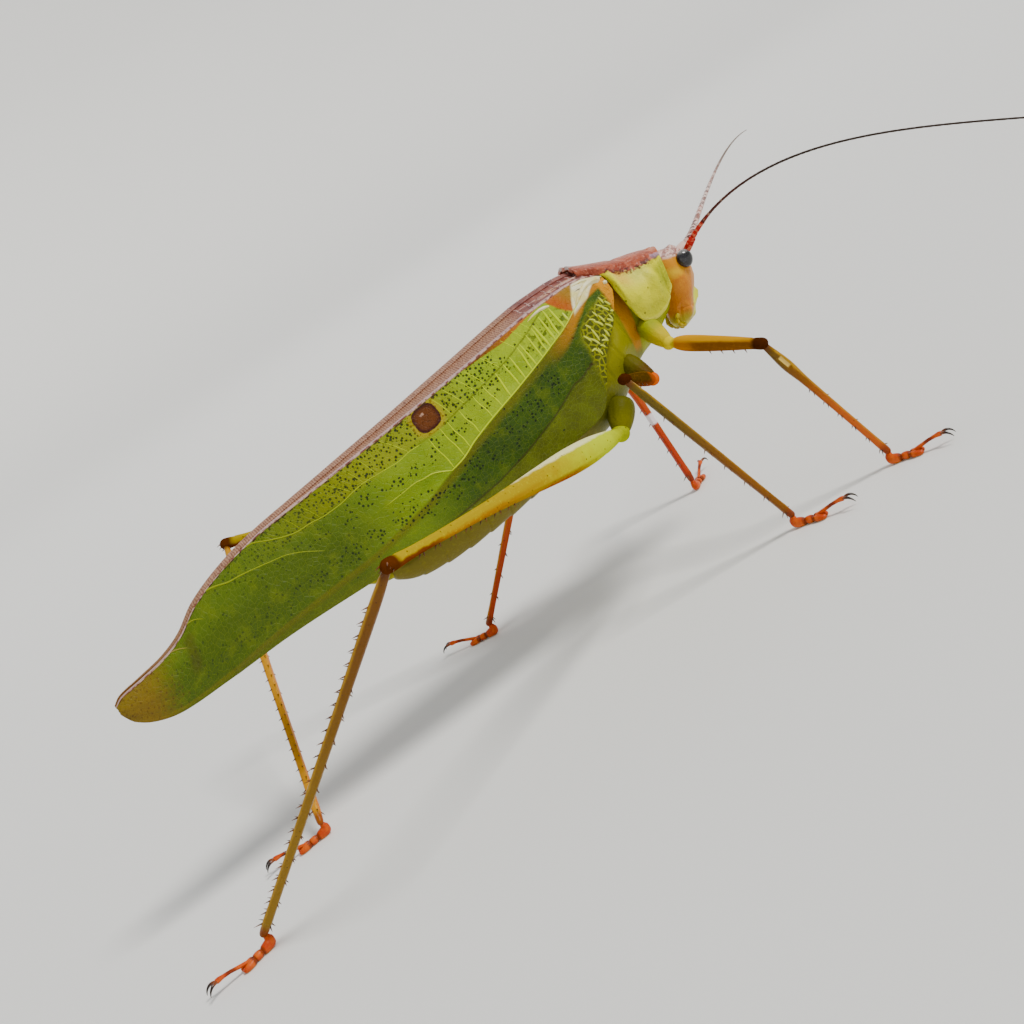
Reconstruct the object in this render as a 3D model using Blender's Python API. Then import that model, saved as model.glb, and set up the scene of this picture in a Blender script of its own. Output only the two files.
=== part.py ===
"""A long-horned grasshopper (a leaf-winged bush katydid) standing on a flat floor, life size.

The insect faces +X with +Z up. While the pieces are made, x = 0 is at the wing hinges, the
body's mid plane is y = 0 and the floor is z = 0. The whole model is then shifted so that the
origin is at the centre of its box, on the floor. Lengths are written in millimetres.
"""

import bpy
import bmesh
from math import cos, exp, pi, radians, sin
from mathutils import Vector

MM = 0.001
GAP = 0.15                   # clearance between neighbouring pieces

WING_LENGTH = 59.0           # tegmen, hinge to tip
WING_WALL = 0.5
HINDWING_WALL = 0.5
FEMUR = {"fore": 10.5, "mid": 11.0, "hind": 41.0}
TIBIA = {"fore": 15.8, "mid": 21.0, "hind": 36.0}
HIP_WIDTH = {"fore": 4.2, "mid": 4.4, "hind": 4.0}      # mid plane to the end of the coxa
ANKLE_HEIGHT = 1.5
LEG_SIDES = {"fore": 8, "mid": 8, "hind": 10}
FEELER_LENGTH = 70.0
FEELER_THICK = 0.62          # at the root of the flagellum
FEELER_THIN = 0.5            # at its tip


# ---------------------------------------------------------------- general shapes

def clear_scene():
    for item in list(bpy.data.objects):
        bpy.data.objects.remove(item, do_unlink=True)


def material(name, color, roughness):
    made = bpy.data.materials.get(name) or bpy.data.materials.new(name)
    made.use_nodes = True
    shader = made.node_tree.nodes["Principled BSDF"]
    shader.inputs["Base Color"].default_value = (*color, 1.0)
    shader.inputs["Roughness"].default_value = roughness
    shader.inputs["Metallic"].default_value = 0.0
    return made


def finish(name, mesh_data, look, crease_deg=40.0):
    mesh = bpy.data.meshes.new(name)
    mesh_data.to_mesh(mesh)
    mesh_data.free()
    mesh.shade_smooth()
    mesh.set_sharp_from_angle(angle=radians(crease_deg))
    mesh.materials.append(look)
    made = bpy.data.objects.new(name, mesh)
    bpy.context.scene.collection.objects.link(made)
    return made


def loft(name, rings, look):
    """A closed solid through rings of equally many points, with flat ends."""
    data = bmesh.new()
    loops = [[data.verts.new(Vector(p) * MM) for p in ring] for ring in rings]
    count = len(rings[0])
    for near, far in zip(loops, loops[1:]):
        for i in range(count):
            j = (i + 1) % count
            data.faces.new((near[i], near[j], far[j], far[i]))
    data.faces.new(list(reversed(loops[0])))
    data.faces.new(loops[-1])
    bmesh.ops.recalc_face_normals(data, faces=data.faces)
    return finish(name, data, look)


def smooth_value(stations, x):
    """The value at x of a smooth curve through (x, value) stations sorted by x."""
    if x <= stations[0][0]:
        return stations[0][1]
    if x >= stations[-1][0]:
        return stations[-1][1]
    for i in range(len(stations) - 1):
        if x <= stations[i + 1][0]:
            break
    (x1, v1), (x2, v2) = stations[i], stations[i + 1]
    x0, v0 = stations[max(i - 1, 0)]
    x3, v3 = stations[min(i + 2, len(stations) - 1)]
    slope1 = (v2 - v0) / (x2 - x0)
    slope2 = (v3 - v1) / (x3 - x1)
    span = x2 - x1
    t = (x - x1) / span
    return (v1 * (2 * t ** 3 - 3 * t ** 2 + 1) + v2 * (3 * t ** 2 - 2 * t ** 3)
            + slope1 * span * (t ** 3 - 2 * t ** 2 + t) + slope2 * span * (t ** 3 - t ** 2))


def spread(low, high, count):
    return [low + (high - low) * i / (count - 1) for i in range(count)]


def oval_ring(center, across, up, half_width, half_height, sides):
    return [center + across * (half_width * cos(2 * pi * i / sides))
            + up * (half_height * sin(2 * pi * i / sides)) for i in range(sides)]


def cross_frame(direction, toward):
    """Two unit vectors across a direction, the second as near as can be to toward."""
    across = direction.cross(toward).normalized()
    return across, across.cross(direction).normalized()


def tube(name, path, radii, look, sides, flatten=1.0, toward=Vector((0, 0, 1))):
    """A round piece along a path, with a radius at each point; flatten thins it sideways."""
    rings = []
    for i, point in enumerate(path):
        direction = path[min(i + 1, len(path) - 1)] - path[max(i - 1, 0)]
        across, up = cross_frame(direction.normalized(), toward)
        rings.append(oval_ring(point, across, up, radii[i] * flatten, radii[i], sides))
    return loft(name, rings, look)


def ellipsoid(name, center, half_sizes, look, segments=16, rows=10):
    data = bmesh.new()
    bmesh.ops.create_uvsphere(data, u_segments=segments, v_segments=rows, radius=1.0)
    for vert in data.verts:
        vert.co = (Vector(center) + vert.co * Vector(half_sizes)) * MM
    return finish(name, data, look)


def boolean(target, other, operation):
    """Joins other to target, or cuts it away; other stays in the file as a hidden tool."""
    other.hide_render = True
    other.display_type = "WIRE"
    step = target.modifiers.new(operation.title(), "BOOLEAN")
    step.operation = operation
    step.solver = "EXACT"
    step.object = other


# ---------------------------------------------------------------- colours

PURPLE_BROWN = (0.20, 0.075, 0.06)
WING_GREEN = (0.26, 0.36, 0.03)
BODY_GREEN = (0.30, 0.36, 0.06)
OLIVE = (0.16, 0.20, 0.04)
FACE_ORANGE = (0.60, 0.27, 0.04)
LEG_YELLOW = (0.60, 0.50, 0.05)
LEG_ORANGE = (0.55, 0.24, 0.04)
SHIN_BROWN = (0.28, 0.15, 0.03)
FOOT_RED = (0.42, 0.11, 0.05)
EYE_SLATE = (0.05, 0.05, 0.06)
FEELER_RED = (0.25, 0.08, 0.06)
CLAW_BROWN = (0.05, 0.03, 0.02)
HINDWING_STRAW = (0.45, 0.45, 0.30)


# ---------------------------------------------------------------- head

HEAD_TOP = Vector((8.05, 0.0, 26.35))
HEAD_FOOT = Vector((6.35, 0.0, 21.35))
# along the head from the crown down: half depth (fore and aft) and half width
HEAD_DEPTH = ((0.0, 0.55), (0.12, 1.25), (0.3, 1.85), (0.55, 2.1), (0.8, 1.9), (1.0, 1.6))
HEAD_WIDTH = ((0.0, 0.45), (0.12, 1.15), (0.3, 1.8), (0.55, 2.05), (0.8, 1.95), (1.0, 1.6))
EYE_CENTER = Vector((8.25, 1.85, 24.85))
EYE_SIZE = Vector((0.78, 0.62, 0.80))


def head_piece():
    look = material("face", FACE_ORANGE, 0.42)
    down = (HEAD_FOOT - HEAD_TOP).normalized()
    forward = down.cross(Vector((0, 1, 0))).normalized()
    rings = []
    for t in spread(0.0, 1.0, 10):
        center = HEAD_TOP.lerp(HEAD_FOOT, t)
        depth = smooth_value(HEAD_DEPTH, t)
        width = smooth_value(HEAD_WIDTH, t)
        rings.append(oval_ring(center, Vector((0, 1, 0)), forward, width, depth, 16))
    head = loft("head", rings, look)
    for side in (-1, 1):
        center = EYE_CENTER * Vector((1, side, 1))
        socket = ellipsoid(f"socket_{side}", center, EYE_SIZE + Vector((0.1, 0.1, 0.1)), look, 12, 7)
        boolean(head, socket, "DIFFERENCE")
    return head


def eye_pieces():
    look = material("eye", EYE_SLATE, 0.15)
    for name, side in (("right", -1), ("left", 1)):
        ellipsoid(f"eye_{name}", EYE_CENTER * Vector((1, side, 1)), EYE_SIZE, look, 12, 7)


def mouth_piece():
    """Clypeus, upper lip and jaws: a blunt wedge under the head capsule."""
    look = material("mouth", FACE_ORANGE, 0.4)
    top = HEAD_FOOT + Vector((0.1, 0, -GAP))
    foot = Vector((5.35, 0.0, 19.0))
    widths = ((0.0, 1.5), (0.4, 1.4), (0.75, 1.05), (1.0, 0.5))
    depths = ((0.0, 1.5), (0.4, 1.3), (0.75, 0.95), (1.0, 0.5))
    down = (HEAD_FOOT - HEAD_TOP).normalized()
    forward = down.cross(Vector((0, 1, 0))).normalized()
    rings = []
    for t in spread(0.0, 1.0, 7):
        rings.append(oval_ring(top.lerp(foot, t), Vector((0, 1, 0)), forward,
                               smooth_value(widths, t), smooth_value(depths, t), 14))
    return loft("mouthparts", rings, look)


def palp_pieces():
    look = material("palp", LEG_YELLOW, 0.45)
    for name, side in (("right", -1), ("left", 1)):
        path = [Vector((4.7, side * 1.62, 20.6)), Vector((4.5, side * 1.7, 19.8)),
                Vector((4.7, side * 1.6, 19.1)), Vector((5.2, side * 1.42, 18.7)),
                Vector((5.75, side * 1.25, 18.6))]
        tube(f"palps_{name}", path, (0.26, 0.26, 0.25, 0.27, 0.25), look, 8)


# ---------------------------------------------------------------- feelers

FEELER_ROOT = Vector((9.75, 0.95, 25.35))
SCAPE_LENGTH = 1.1
SCAPE_RADIUS = 0.42
# how each feeler leaves the head and how it levels out: (pitch, yaw) in degrees, root to tip
FEELER_SWEEP = {"right": ((37.7, 41.0), (-31.8, 65.5)), "left": ((7.4, 10.0), (1.5, 52.3))}
FEELER_BEND = {"right": 0.207, "left": 0.023}    # share of the length with most of the bend
FEELER_DROOP = {"right": -24.6, "left": 8.5}     # further fall of the pitch at the tip, in degrees
FEELER_STEPS = 60
FEELER_CUTS = (0.0, 0.25, 0.6, 1.0)


def feeler_path(side_name, side):
    (pitch_root, yaw_root), (pitch_tip, yaw_tip) = FEELER_SWEEP[side_name]
    step = FEELER_LENGTH / FEELER_STEPS
    point = FEELER_ROOT * Vector((1, side, 1))
    path = [point.copy()]
    for i in range(FEELER_STEPS):
        share = (i + 0.5) / FEELER_STEPS
        settled = 1.0 - exp(-share / FEELER_BEND[side_name])
        droop = FEELER_DROOP[side_name] * share ** 2
        pitch = radians(pitch_root + (pitch_tip - pitch_root) * settled - droop)
        yaw = radians(yaw_root + (yaw_tip - yaw_root) * settled) * side
        point = point + Vector((cos(pitch) * cos(yaw), cos(pitch) * sin(yaw), sin(pitch))) * step
        path.append(point.copy())
    return path


def feeler_pieces():
    look = material("feeler", FEELER_RED, 0.5)
    for name, side in (("right", -1), ("left", 1)):
        path = feeler_path(name, side)
        along = (path[1] - path[0]).normalized()
        scape = [path[0] + along * s for s in (0.0, 0.25, 0.8, SCAPE_LENGTH)]
        tube(f"antenna_{name}_scape", scape, (0.34, SCAPE_RADIUS, SCAPE_RADIUS, 0.34), look, 8)
        for part in range(3):
            start = round(FEELER_CUTS[part] * FEELER_STEPS)
            end = round(FEELER_CUTS[part + 1] * FEELER_STEPS)
            places = list(range(start, end, 2)) + [end]
            piece = [path[i].copy() for i in places]
            if part == 0:
                piece[0] = scape[-1] + along * GAP
            else:
                piece[0] += (piece[1] - piece[0]).normalized() * GAP
            radii = [(FEELER_THICK + (FEELER_THIN - FEELER_THICK) * i / FEELER_STEPS) / 2
                     for i in places]
            tube(f"antenna_{name}_{part + 1}", piece, radii, look, 6)


# ---------------------------------------------------------------- pronotum

# stations along x: height of the disc, its half width at the keels, lower edge of the lobes
DISC_TOP = ((-2.2, 30.45), (0.0, 29.45), (2.5, 28.45), (5.0, 27.75), (7.2, 26.95))
DISC_HALF = ((-2.2, 1.9), (0.0, 2.45), (2.5, 2.35), (5.0, 2.15), (7.2, 1.75))
LOBE_FOOT = ((-2.2, 29.7), (-0.9, 28.9), (-0.1, 28.2), (0.3, 26.0), (0.7, 23.2), (1.4, 22.1),
             (2.9, 21.8), (4.6, 22.6), (5.8, 24.4), (6.5, 25.6), (7.2, 26.2))
LOBE_BULGE = 0.75            # how far the side lobes stand out past the keels
PRONOTUM_WALL = 0.5


def saddle_arch(x, inset):
    """Points of one cross-section, right lobe edge to left lobe edge, inset from the outside."""
    top = smooth_value(DISC_TOP, x) - inset
    half = smooth_value(DISC_HALF, x) - inset
    foot = smooth_value(LOBE_FOOT, x)
    keel = top - 0.28
    drop = max(keel - foot, 0.25)
    bulge = LOBE_BULGE * min(1.0, drop / 4.0)
    right = []
    for t in (1.0, 0.75, 0.45, 0.15):
        right.append(Vector((x, -(half + bulge * sin(pi * min(1.0, t * 0.85))), keel - drop * t)))
    right.append(Vector((x, -half, keel)))
    right.append(Vector((x, -half * 0.55, top - 0.04)))
    left = [Vector((p.x, -p.y, p.z)) for p in reversed(right)]
    return right + left


def pronotum_piece():
    look = material("pronotum", PURPLE_BROWN, 0.5)
    rings = []
    for x in (-2.2, -1.2, -0.2, 0.1, 0.4, 0.8, 1.5, 2.8, 4.0, 5.0, 5.8, 6.5, 7.2):
        outside = saddle_arch(x, 0.0)
        inside = saddle_arch(x, PRONOTUM_WALL)
        rings.append(outside + list(reversed(inside)))
    return loft("pronotum", rings, look)


# ---------------------------------------------------------------- thorax and abdomen

# stations along x: top, bottom and half width
THORAX_TOP = ((-9.6, 25.2), (-7.0, 26.3), (-4.5, 27.0), (-2.0, 27.3), (0.5, 27.0), (3.0, 26.0),
              (4.6, 24.6))
THORAX_FOOT = ((-9.6, 15.0), (-7.5, 15.1), (-5.0, 15.9), (-2.5, 17.5), (0.0, 19.0), (2.5, 19.8),
               (4.6, 21.4))
THORAX_HALF = ((-9.6, 3.2), (-7.5, 3.55), (-5.0, 3.6), (-2.5, 3.15), (-0.8, 2.1), (1.0, 1.75),
               (3.0, 1.6), (4.6, 1.1))
ABDOMEN_TOP = ((-32.4, 18.6), (-29.0, 20.4), (-24.0, 22.2), (-19.0, 23.3), (-14.0, 24.3),
               (-9.6, 25.2))
ABDOMEN_FOOT = ((-32.4, 15.7), (-30.5, 14.5), (-26.0, 13.8), (-20.0, 13.9), (-14.0, 14.4),
                (-9.6, 15.0))
ABDOMEN_HALF = ((-32.4, 1.2), (-30.0, 1.9), (-25.0, 2.5), (-19.0, 2.9), (-14.0, 3.1),
                (-9.6, 3.15))
ABDOMEN_SEGMENTS = 8
SEGMENT_STEP = 0.12          # how far each ring overlaps the next one outwards


def body_ring(x, top, foot, half, grow=0.0, sides=16):
    """A rounded cross-section, fuller above than below."""
    center = Vector((x, 0, (top + foot) / 2 + (top - foot) * 0.05))
    ring = []
    for i in range(sides):
        turn = 2 * pi * i / sides
        up = sin(turn)
        limit = (top - center.z if up > 0 else center.z - foot) + grow
        ring.append(center + Vector((0, cos(turn) * (half + grow), up * limit)))
    return ring


def thorax_solid(name, look, grow):
    rings = []
    for x in spread(THORAX_TOP[0][0], THORAX_TOP[-1][0], 12):
        rings.append(body_ring(x, smooth_value(THORAX_TOP, x), smooth_value(THORAX_FOOT, x),
                               smooth_value(THORAX_HALF, x), grow))
    return loft(name, rings, look)


def abdomen_piece():
    look = material("abdomen", OLIVE, 0.45)
    front = ABDOMEN_TOP[-1][0] - GAP
    back = ABDOMEN_TOP[0][0]
    rings = []
    for i in range(ABDOMEN_SEGMENTS):
        for t, grow in ((0.0, 0.0), (0.86, SEGMENT_STEP)):
            x = front + (back - front) * (i + t) / ABDOMEN_SEGMENTS
            rings.append(body_ring(x, smooth_value(ABDOMEN_TOP, x), smooth_value(ABDOMEN_FOOT, x),
                                   smooth_value(ABDOMEN_HALF, x), grow))
    rings.append(body_ring(back, smooth_value(ABDOMEN_TOP, back) - 0.2,
                           smooth_value(ABDOMEN_FOOT, back) + 0.2, 0.9))
    return loft("abdomen", rings, look)


def tail_pieces():
    """The boat-shaped plate under the tail and the two cerci above it."""
    look = material("tail", OLIVE, 0.45)
    back = ABDOMEN_TOP[0][0] - GAP
    plate = [Vector((back, 0, 16.5)), Vector((back - 0.8, 0, 16.55)), Vector((back - 1.7, 0, 16.9)),
             Vector((back - 2.5, 0, 17.5))]
    tube("subgenital_plate", plate, (0.5, 0.48, 0.4, 0.26), look, 10, flatten=1.5)
    for name, side in (("right", -1), ("left", 1)):
        path = [Vector((back, side * 0.75, 17.9)), Vector((back - 0.8, side * 0.95, 18.2)),
                Vector((back - 1.6, side * 0.9, 18.75)), Vector((back - 2.1, side * 0.55, 19.35))]
        tube(f"cercus_{name}", path, (0.3, 0.32, 0.28, 0.25), look, 8)


# ---------------------------------------------------------------- wings

# the outline of a tegmen at rest, as stations along x: its upper fold and its lower edge
TIP = -WING_LENGTH
WING_FOLD_Z = ((TIP, 21.0), (TIP + 0.8, 21.5), (TIP + 3.0, 21.8), (TIP + 5.7, 22.2),
               (TIP + 8.0, 23.0), (TIP + 10.5, 24.5), (-45.0, 25.7), (-41.0, 26.45),
               (-34.0, 27.0), (-26.0, 27.6), (-17.0, 28.4), (-9.0, 29.2), (-4.0, 28.7),
               (-0.35, 27.4))
WING_EDGE_Z = ((TIP, 20.5), (TIP + 0.6, 19.3), (TIP + 2.2, 18.2), (TIP + 4.5, 17.6),
               (TIP + 9.0, 17.6), (-43.0, 17.8), (-34.0, 17.5), (-24.0, 17.1), (-14.0, 17.2),
               (-10.0, 17.4), (-7.8, 18.0), (-6.3, 19.8), (-5.2, 21.5), (-3.9, 22.9),
               (-2.3, 24.1), (-1.1, 25.5), (-0.35, 26.5))
WING_FOLD_Y = ((TIP, 0.35), (TIP + 9.0, 0.5), (-40.0, 0.95), (-28.0, 1.9), (-16.0, 2.7),
               (-8.0, 2.95), (-3.0, 2.75), (-0.35, 2.4))
WING_EDGE_Y = ((TIP, 0.4), (TIP + 5.0, 1.1), (-44.0, 2.4), (-32.0, 3.6), (-20.0, 4.3),
               (-9.0, 4.55), (-4.0, 4.2), (-0.35, 3.2))
WING_CAMBER = 0.75           # outward bulge of the flank
ROOF_RISE = 0.30             # the dorsal field's rise to the mid line, per unit of width
MID_GAP = 0.34               # from the mid plane to the middle of each wing's wall


def wing_section(x, side):
    fold_y = smooth_value(WING_FOLD_Y, x)
    edge_y = smooth_value(WING_EDGE_Y, x)
    fold_z = smooth_value(WING_FOLD_Z, x)
    edge_z = smooth_value(WING_EDGE_Z, x)
    camber = WING_CAMBER * min(1.0, (fold_z - edge_z) / 9.0)
    points = []
    for t in (0.0, 0.5):
        y = MID_GAP + (fold_y - MID_GAP) * t
        points.append(Vector((x, side * y, fold_z + (fold_y - y) * ROOF_RISE)))
    for t in (0.0, 0.16, 0.34, 0.56, 0.78, 1.0):
        y = fold_y + (edge_y - fold_y) * t + camber * sin(pi * t)
        points.append(Vector((x, side * y, fold_z + (edge_z - fold_z) * t)))
    return points


def wing_stations():
    tip = [TIP + step for step in (0.0, 0.4, 1.0, 2.0, 3.5, 5.5, 7.5, 10.0)]
    middle = spread(-45.5, -10.0, 11)
    base = [-7.6, -6.3, -5.2, -4.0, -2.4, -1.1, -0.35]
    return tip + middle + base


def sheet(name, sections, look, wall):
    """A curved sheet through the sections, thickened evenly on both sides."""
    data = bmesh.new()
    rows = [[data.verts.new(p * MM) for p in section] for section in sections]
    for near, far in zip(rows, rows[1:]):
        for i in range(len(near) - 1):
            data.faces.new((near[i], near[i + 1], far[i + 1], far[i]))
    bmesh.ops.recalc_face_normals(data, faces=data.faces)
    made = finish(name, data, look)
    thick = made.modifiers.new("Wall", "SOLIDIFY")
    thick.thickness = wall * MM
    thick.offset = 0.0
    thick.use_even_offset = True
    return made


def wing_pieces():
    look = material("wing", WING_GREEN, 0.45)
    for name, side in (("right", -1), ("left", 1)):
        sections = [wing_section(x, side) for x in wing_stations()]
        sheet(f"tegmen_{name}", sections, look, WING_WALL)


# the folded hind wings stand between the tegmina, over the abdomen
HINDWING_TOP = ((-50.0, 21.4), (-46.0, 23.2), (-34.0, 25.7), (-20.0, 27.2), (-11.0, 27.6))
HINDWING_FOOT = ((-50.0, 19.6), (-44.0, 19.3), (-36.0, 19.7), (-30.0, 21.4), (-24.0, 23.2),
                 (-17.0, 24.7), (-11.0, 25.9))
HINDWING_Y = ((-50.0, 0.32), (-44.0, 0.4), (-30.0, 0.8), (-11.0, 1.1))


def hindwing_pieces():
    look = material("hindwing", HINDWING_STRAW, 0.4)
    for name, side in (("right", -1), ("left", 1)):
        sections = []
        for x in spread(HINDWING_TOP[0][0], HINDWING_TOP[-1][0], 10):
            y = smooth_value(HINDWING_Y, x)
            top = smooth_value(HINDWING_TOP, x)
            foot = smooth_value(HINDWING_FOOT, x)
            sections.append([Vector((x, side * y, top)), Vector((x, side * y * 1.12, (top + foot) / 2)),
                             Vector((x, side * y, foot))])
        sheet(f"hindwing_{name}", sections, look, HINDWING_WALL)


# ---------------------------------------------------------------- legs

# end of each coxa (x, z), its root inside the thorax, and its radius there and at the end
HIP = {"fore": (1.4, 19.5), "mid": (-1.9, 17.6), "hind": (-7.3, 15.1)}
COXA_ROOT = {"fore": (1.3, 1.2, 21.6), "mid": (-2.4, 1.8, 20.0), "hind": (-5.1, 1.7, 17.8)}
COXA_RADIUS = {"fore": (1.0, 0.72), "mid": (1.05, 0.72), "hind": (1.45, 0.95)}
KNEE_RADIUS = {"fore": 0.6, "mid": 0.56, "hind": 0.66}
# ankle position on the floor plan, and the way that the knee is pushed out of the hip-ankle line
ANKLE = {"fore_right": (10.1, -14.9), "mid_right": (-0.4, -12.6), "hind_right": (-60.1, -13.8),
         "fore_left": (3.6, 14.5), "mid_left": (-23.5, 17.0), "hind_left": (-50.6, -0.4)}
KNEE_PUSH = {"fore_right": (0.1, -0.83, 0.54), "mid_right": (-0.53, -0.77, 0.34),
             "hind_right": (-0.02, -0.78, 0.63), "fore_left": (0.09, 0.86, 0.5),
             "mid_left": (-0.3, 0.3, 0.8), "hind_left": (-0.25, 0.82, 0.52)}
# heading of each foot on the floor, in degrees from straight ahead, outwards positive
FOOT_HEADING = {"fore_right": 50.0, "mid_right": 50.0, "hind_right": 168.0,
                "fore_left": 48.0, "mid_left": 140.0, "hind_left": 176.0}
# leg profiles: share of the length and radius
FEMUR_SHAPE = {
    "fore": ((0.0, 0.62), (0.1, 0.8), (0.3, 0.82), (0.7, 0.68), (0.9, 0.56), (1.0, 0.6)),
    "mid": ((0.0, 0.55), (0.1, 0.7), (0.35, 0.72), (0.7, 0.58), (0.9, 0.5), (1.0, 0.56)),
    "hind": ((0.0, 0.7), (0.05, 0.95), (0.14, 1.28), (0.26, 1.34), (0.42, 1.06), (0.58, 0.74),
             (0.75, 0.56), (0.92, 0.52), (0.97, 0.64), (1.0, 0.6))}
TIBIA_SHAPE = {
    "fore": ((0.0, 0.36), (0.06, 0.42), (0.13, 0.56), (0.2, 0.56), (0.3, 0.42), (0.9, 0.36),
             (1.0, 0.42)),
    "mid": ((0.0, 0.36), (0.1, 0.42), (0.5, 0.4), (0.92, 0.33), (1.0, 0.4)),
    "hind": ((0.0, 0.38), (0.05, 0.48), (0.4, 0.44), (0.9, 0.4), (1.0, 0.46))}
FEMUR_FLATTEN = {"fore": 0.9, "mid": 0.9, "hind": 0.8}


def knee_place(hip, ankle, femur, tibia, push):
    """Where the knee lies for given lengths, pushed out of the straight line as asked."""
    line = ankle - hip
    reach = line.length
    along = line / reach
    near = (femur ** 2 - tibia ** 2 + reach ** 2) / (2 * reach)
    height = max(femur ** 2 - near ** 2, 0.0) ** 0.5
    out = Vector(push)
    out = (out - along * out.dot(along)).normalized()
    return hip + along * near + out * height


def round_end(center, direction, radius):
    """Path points and radii that close a tube with a ball about its last point."""
    turns = [radians(a) for a in (25, 50, 72)]
    return ([center + direction * radius * sin(a) for a in turns], [radius * cos(a) for a in turns])


def leg_tube(name, start, end, shape, look, stations, sides, flatten=1.0, ball=None):
    path = [start.lerp(end, t) for t in stations]
    radii = [smooth_value(shape, t) for t in stations]
    if ball:
        more_path, more_radii = round_end(end, (end - start).normalized(), ball)
        path += more_path
        radii += more_radii
    return tube(name, path, radii, look, sides, flatten)


def foot_ring(center, ahead, half_width, height, sole):
    """A foot's cross-section: flat where it stands, round above."""
    across = Vector((-ahead.y, ahead.x, 0)).normalized()
    ring = [across * half_width * 0.78 + Vector((0, 0, sole))]
    for angle in (15, 52, 90, 128, 165):
        turn = radians(angle)
        ring.append(across * half_width * cos(turn)
                    + Vector((0, 0, sole + height * (0.45 + 0.55 * sin(turn)))))
    ring.append(across * half_width * -0.78 + Vector((0, 0, sole)))
    return [Vector((center.x, center.y, 0)) + point for point in ring]


# a foot from its heel: distance along the sole, half width, height and lift off the floor
FOOT_RINGS = ((0.0, 0.34, 0.7, 0.0), (0.3, 0.5, 0.95, 0.0), (1.2, 0.52, 0.85, 0.0),
              (1.5, 0.38, 0.66, 0.0), (1.75, 0.54, 0.76, 0.0), (2.35, 0.4, 0.62, 0.0),
              (2.65, 0.64, 0.72, 0.0), (3.3, 0.72, 0.6, 0.0), (3.6, 0.4, 0.62, 0.2),
              (4.2, 0.26, 0.52, 0.5), (5.0, 0.26, 0.52, 0.78), (5.6, 0.3, 0.56, 0.86))
HEEL = 0.45                              # how far the heel lies behind the ankle
CLAW_ROOT = (5.6 + GAP + 0.2, 1.12)      # distance from the heel, height


def foot_piece(key, ankle, heading, look):
    """Tarsus: three pads on the floor and the raised claw joint."""
    ahead = Vector((cos(heading), sin(heading), 0))
    heel = Vector((ankle.x, ankle.y, 0)) - ahead * HEEL
    rings = [foot_ring(heel + ahead * s, ahead, w, h, lift) for s, w, h, lift in FOOT_RINGS]
    loft(f"tarsus_{key}", rings, look)


def claw_piece(key, ankle, heading, look):
    """The pair of claws at a foot's end, made as one bent hook from tip to tip."""
    ahead = Vector((cos(heading), sin(heading), 0))
    across = Vector((-ahead.y, ahead.x, 0))
    reach, height = CLAW_ROOT
    root = Vector((ankle.x, ankle.y, height)) + ahead * (reach - HEEL)
    half = [(0.0, 0.0, 0.0, 0.22), (0.28, 0.3, 0.06, 0.21), (0.68, 0.44, -0.06, 0.17),
            (0.95, 0.46, -0.42, 0.1)]
    path = []
    radii = []
    for side, run in ((1, reversed(half)), (-1, half[1:])):
        for forward, out, rise, radius in run:
            path.append(root + ahead * forward + across * out * side + Vector((0, 0, rise)))
            radii.append(radius)
    tube(f"claws_{key}", path, radii, look, 6)


def leg_pieces(kind, side_name, side, clearance):
    hip_x, hip_z = HIP[kind]
    hip = Vector((hip_x, side * HIP_WIDTH[kind], hip_z))
    key = f"{kind}_{side_name}"
    ankle = Vector((*ANKLE[key], ANKLE_HEIGHT))
    knee = knee_place(hip, ankle, FEMUR[kind], TIBIA[kind], KNEE_PUSH[key])
    leg_look = material(f"{kind}_leg", LEG_YELLOW if kind == "hind" else LEG_ORANGE, 0.4)
    shin_look = material("shin", SHIN_BROWN, 0.4)
    sides = LEG_SIDES[kind]

    root = Vector(COXA_ROOT[kind]) * Vector((1, side, 1))
    wide, narrow = COXA_RADIUS[kind]
    ball_path, ball_radii = round_end(hip, (hip - root).normalized(), narrow)
    coxa = tube(f"coxa_{key}", [root, root.lerp(hip, 0.55), hip] + ball_path,
                [wide, wide * 0.95, narrow] + ball_radii, leg_look, 10)
    boolean(coxa, clearance, "DIFFERENCE")

    thigh = (knee - hip).normalized()
    leg_tube(f"femur_{key}", hip + thigh * (narrow + GAP), knee, FEMUR_SHAPE[kind], leg_look,
             spread(0.0, 1.0, 14 if kind == "hind" else 8), sides, FEMUR_FLATTEN[kind],
             KNEE_RADIUS[kind])
    shin = (ankle - knee).normalized()
    leg_tube(f"tibia_{key}", knee + shin * (KNEE_RADIUS[kind] + GAP), ankle, TIBIA_SHAPE[kind],
             shin_look, spread(0.0, 1.0, 9 if kind == "hind" else 8), 8)
    heading = radians(FOOT_HEADING[key]) * side
    foot_piece(key, ankle, heading, material("foot", FOOT_RED, 0.4))
    claw_piece(key, ankle, heading, material("claw", CLAW_BROWN, 0.3))


# ---------------------------------------------------------------- the whole insect

def set_on_origin():
    """Moves the whole model so that the origin is under the centre of its box."""
    bpy.context.view_layer.update()
    pieces = [o for o in bpy.data.objects if o.type == "MESH" and not o.hide_render]
    corners = [v.co for o in pieces for v in o.data.vertices]
    middle_x = (min(c.x for c in corners) + max(c.x for c in corners)) / 2
    middle_y = (min(c.y for c in corners) + max(c.y for c in corners)) / 2
    for item in bpy.data.objects:
        item.location = (-middle_x, -middle_y, 0.0)


def build():
    clear_scene()
    head_piece()
    eye_pieces()
    mouth_piece()
    palp_pieces()
    feeler_pieces()
    pronotum_piece()
    thorax_solid("thorax", material("thorax", BODY_GREEN, 0.45), 0.0)
    clearance = thorax_solid("thorax_clearance", material("thorax", BODY_GREEN, 0.45), GAP)
    abdomen_piece()
    tail_pieces()
    wing_pieces()
    hindwing_pieces()
    for kind in ("fore", "mid", "hind"):
        for side_name, side in (("right", -1), ("left", 1)):
            leg_pieces(kind, side_name, side, clearance)
    set_on_origin()


build()
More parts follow.
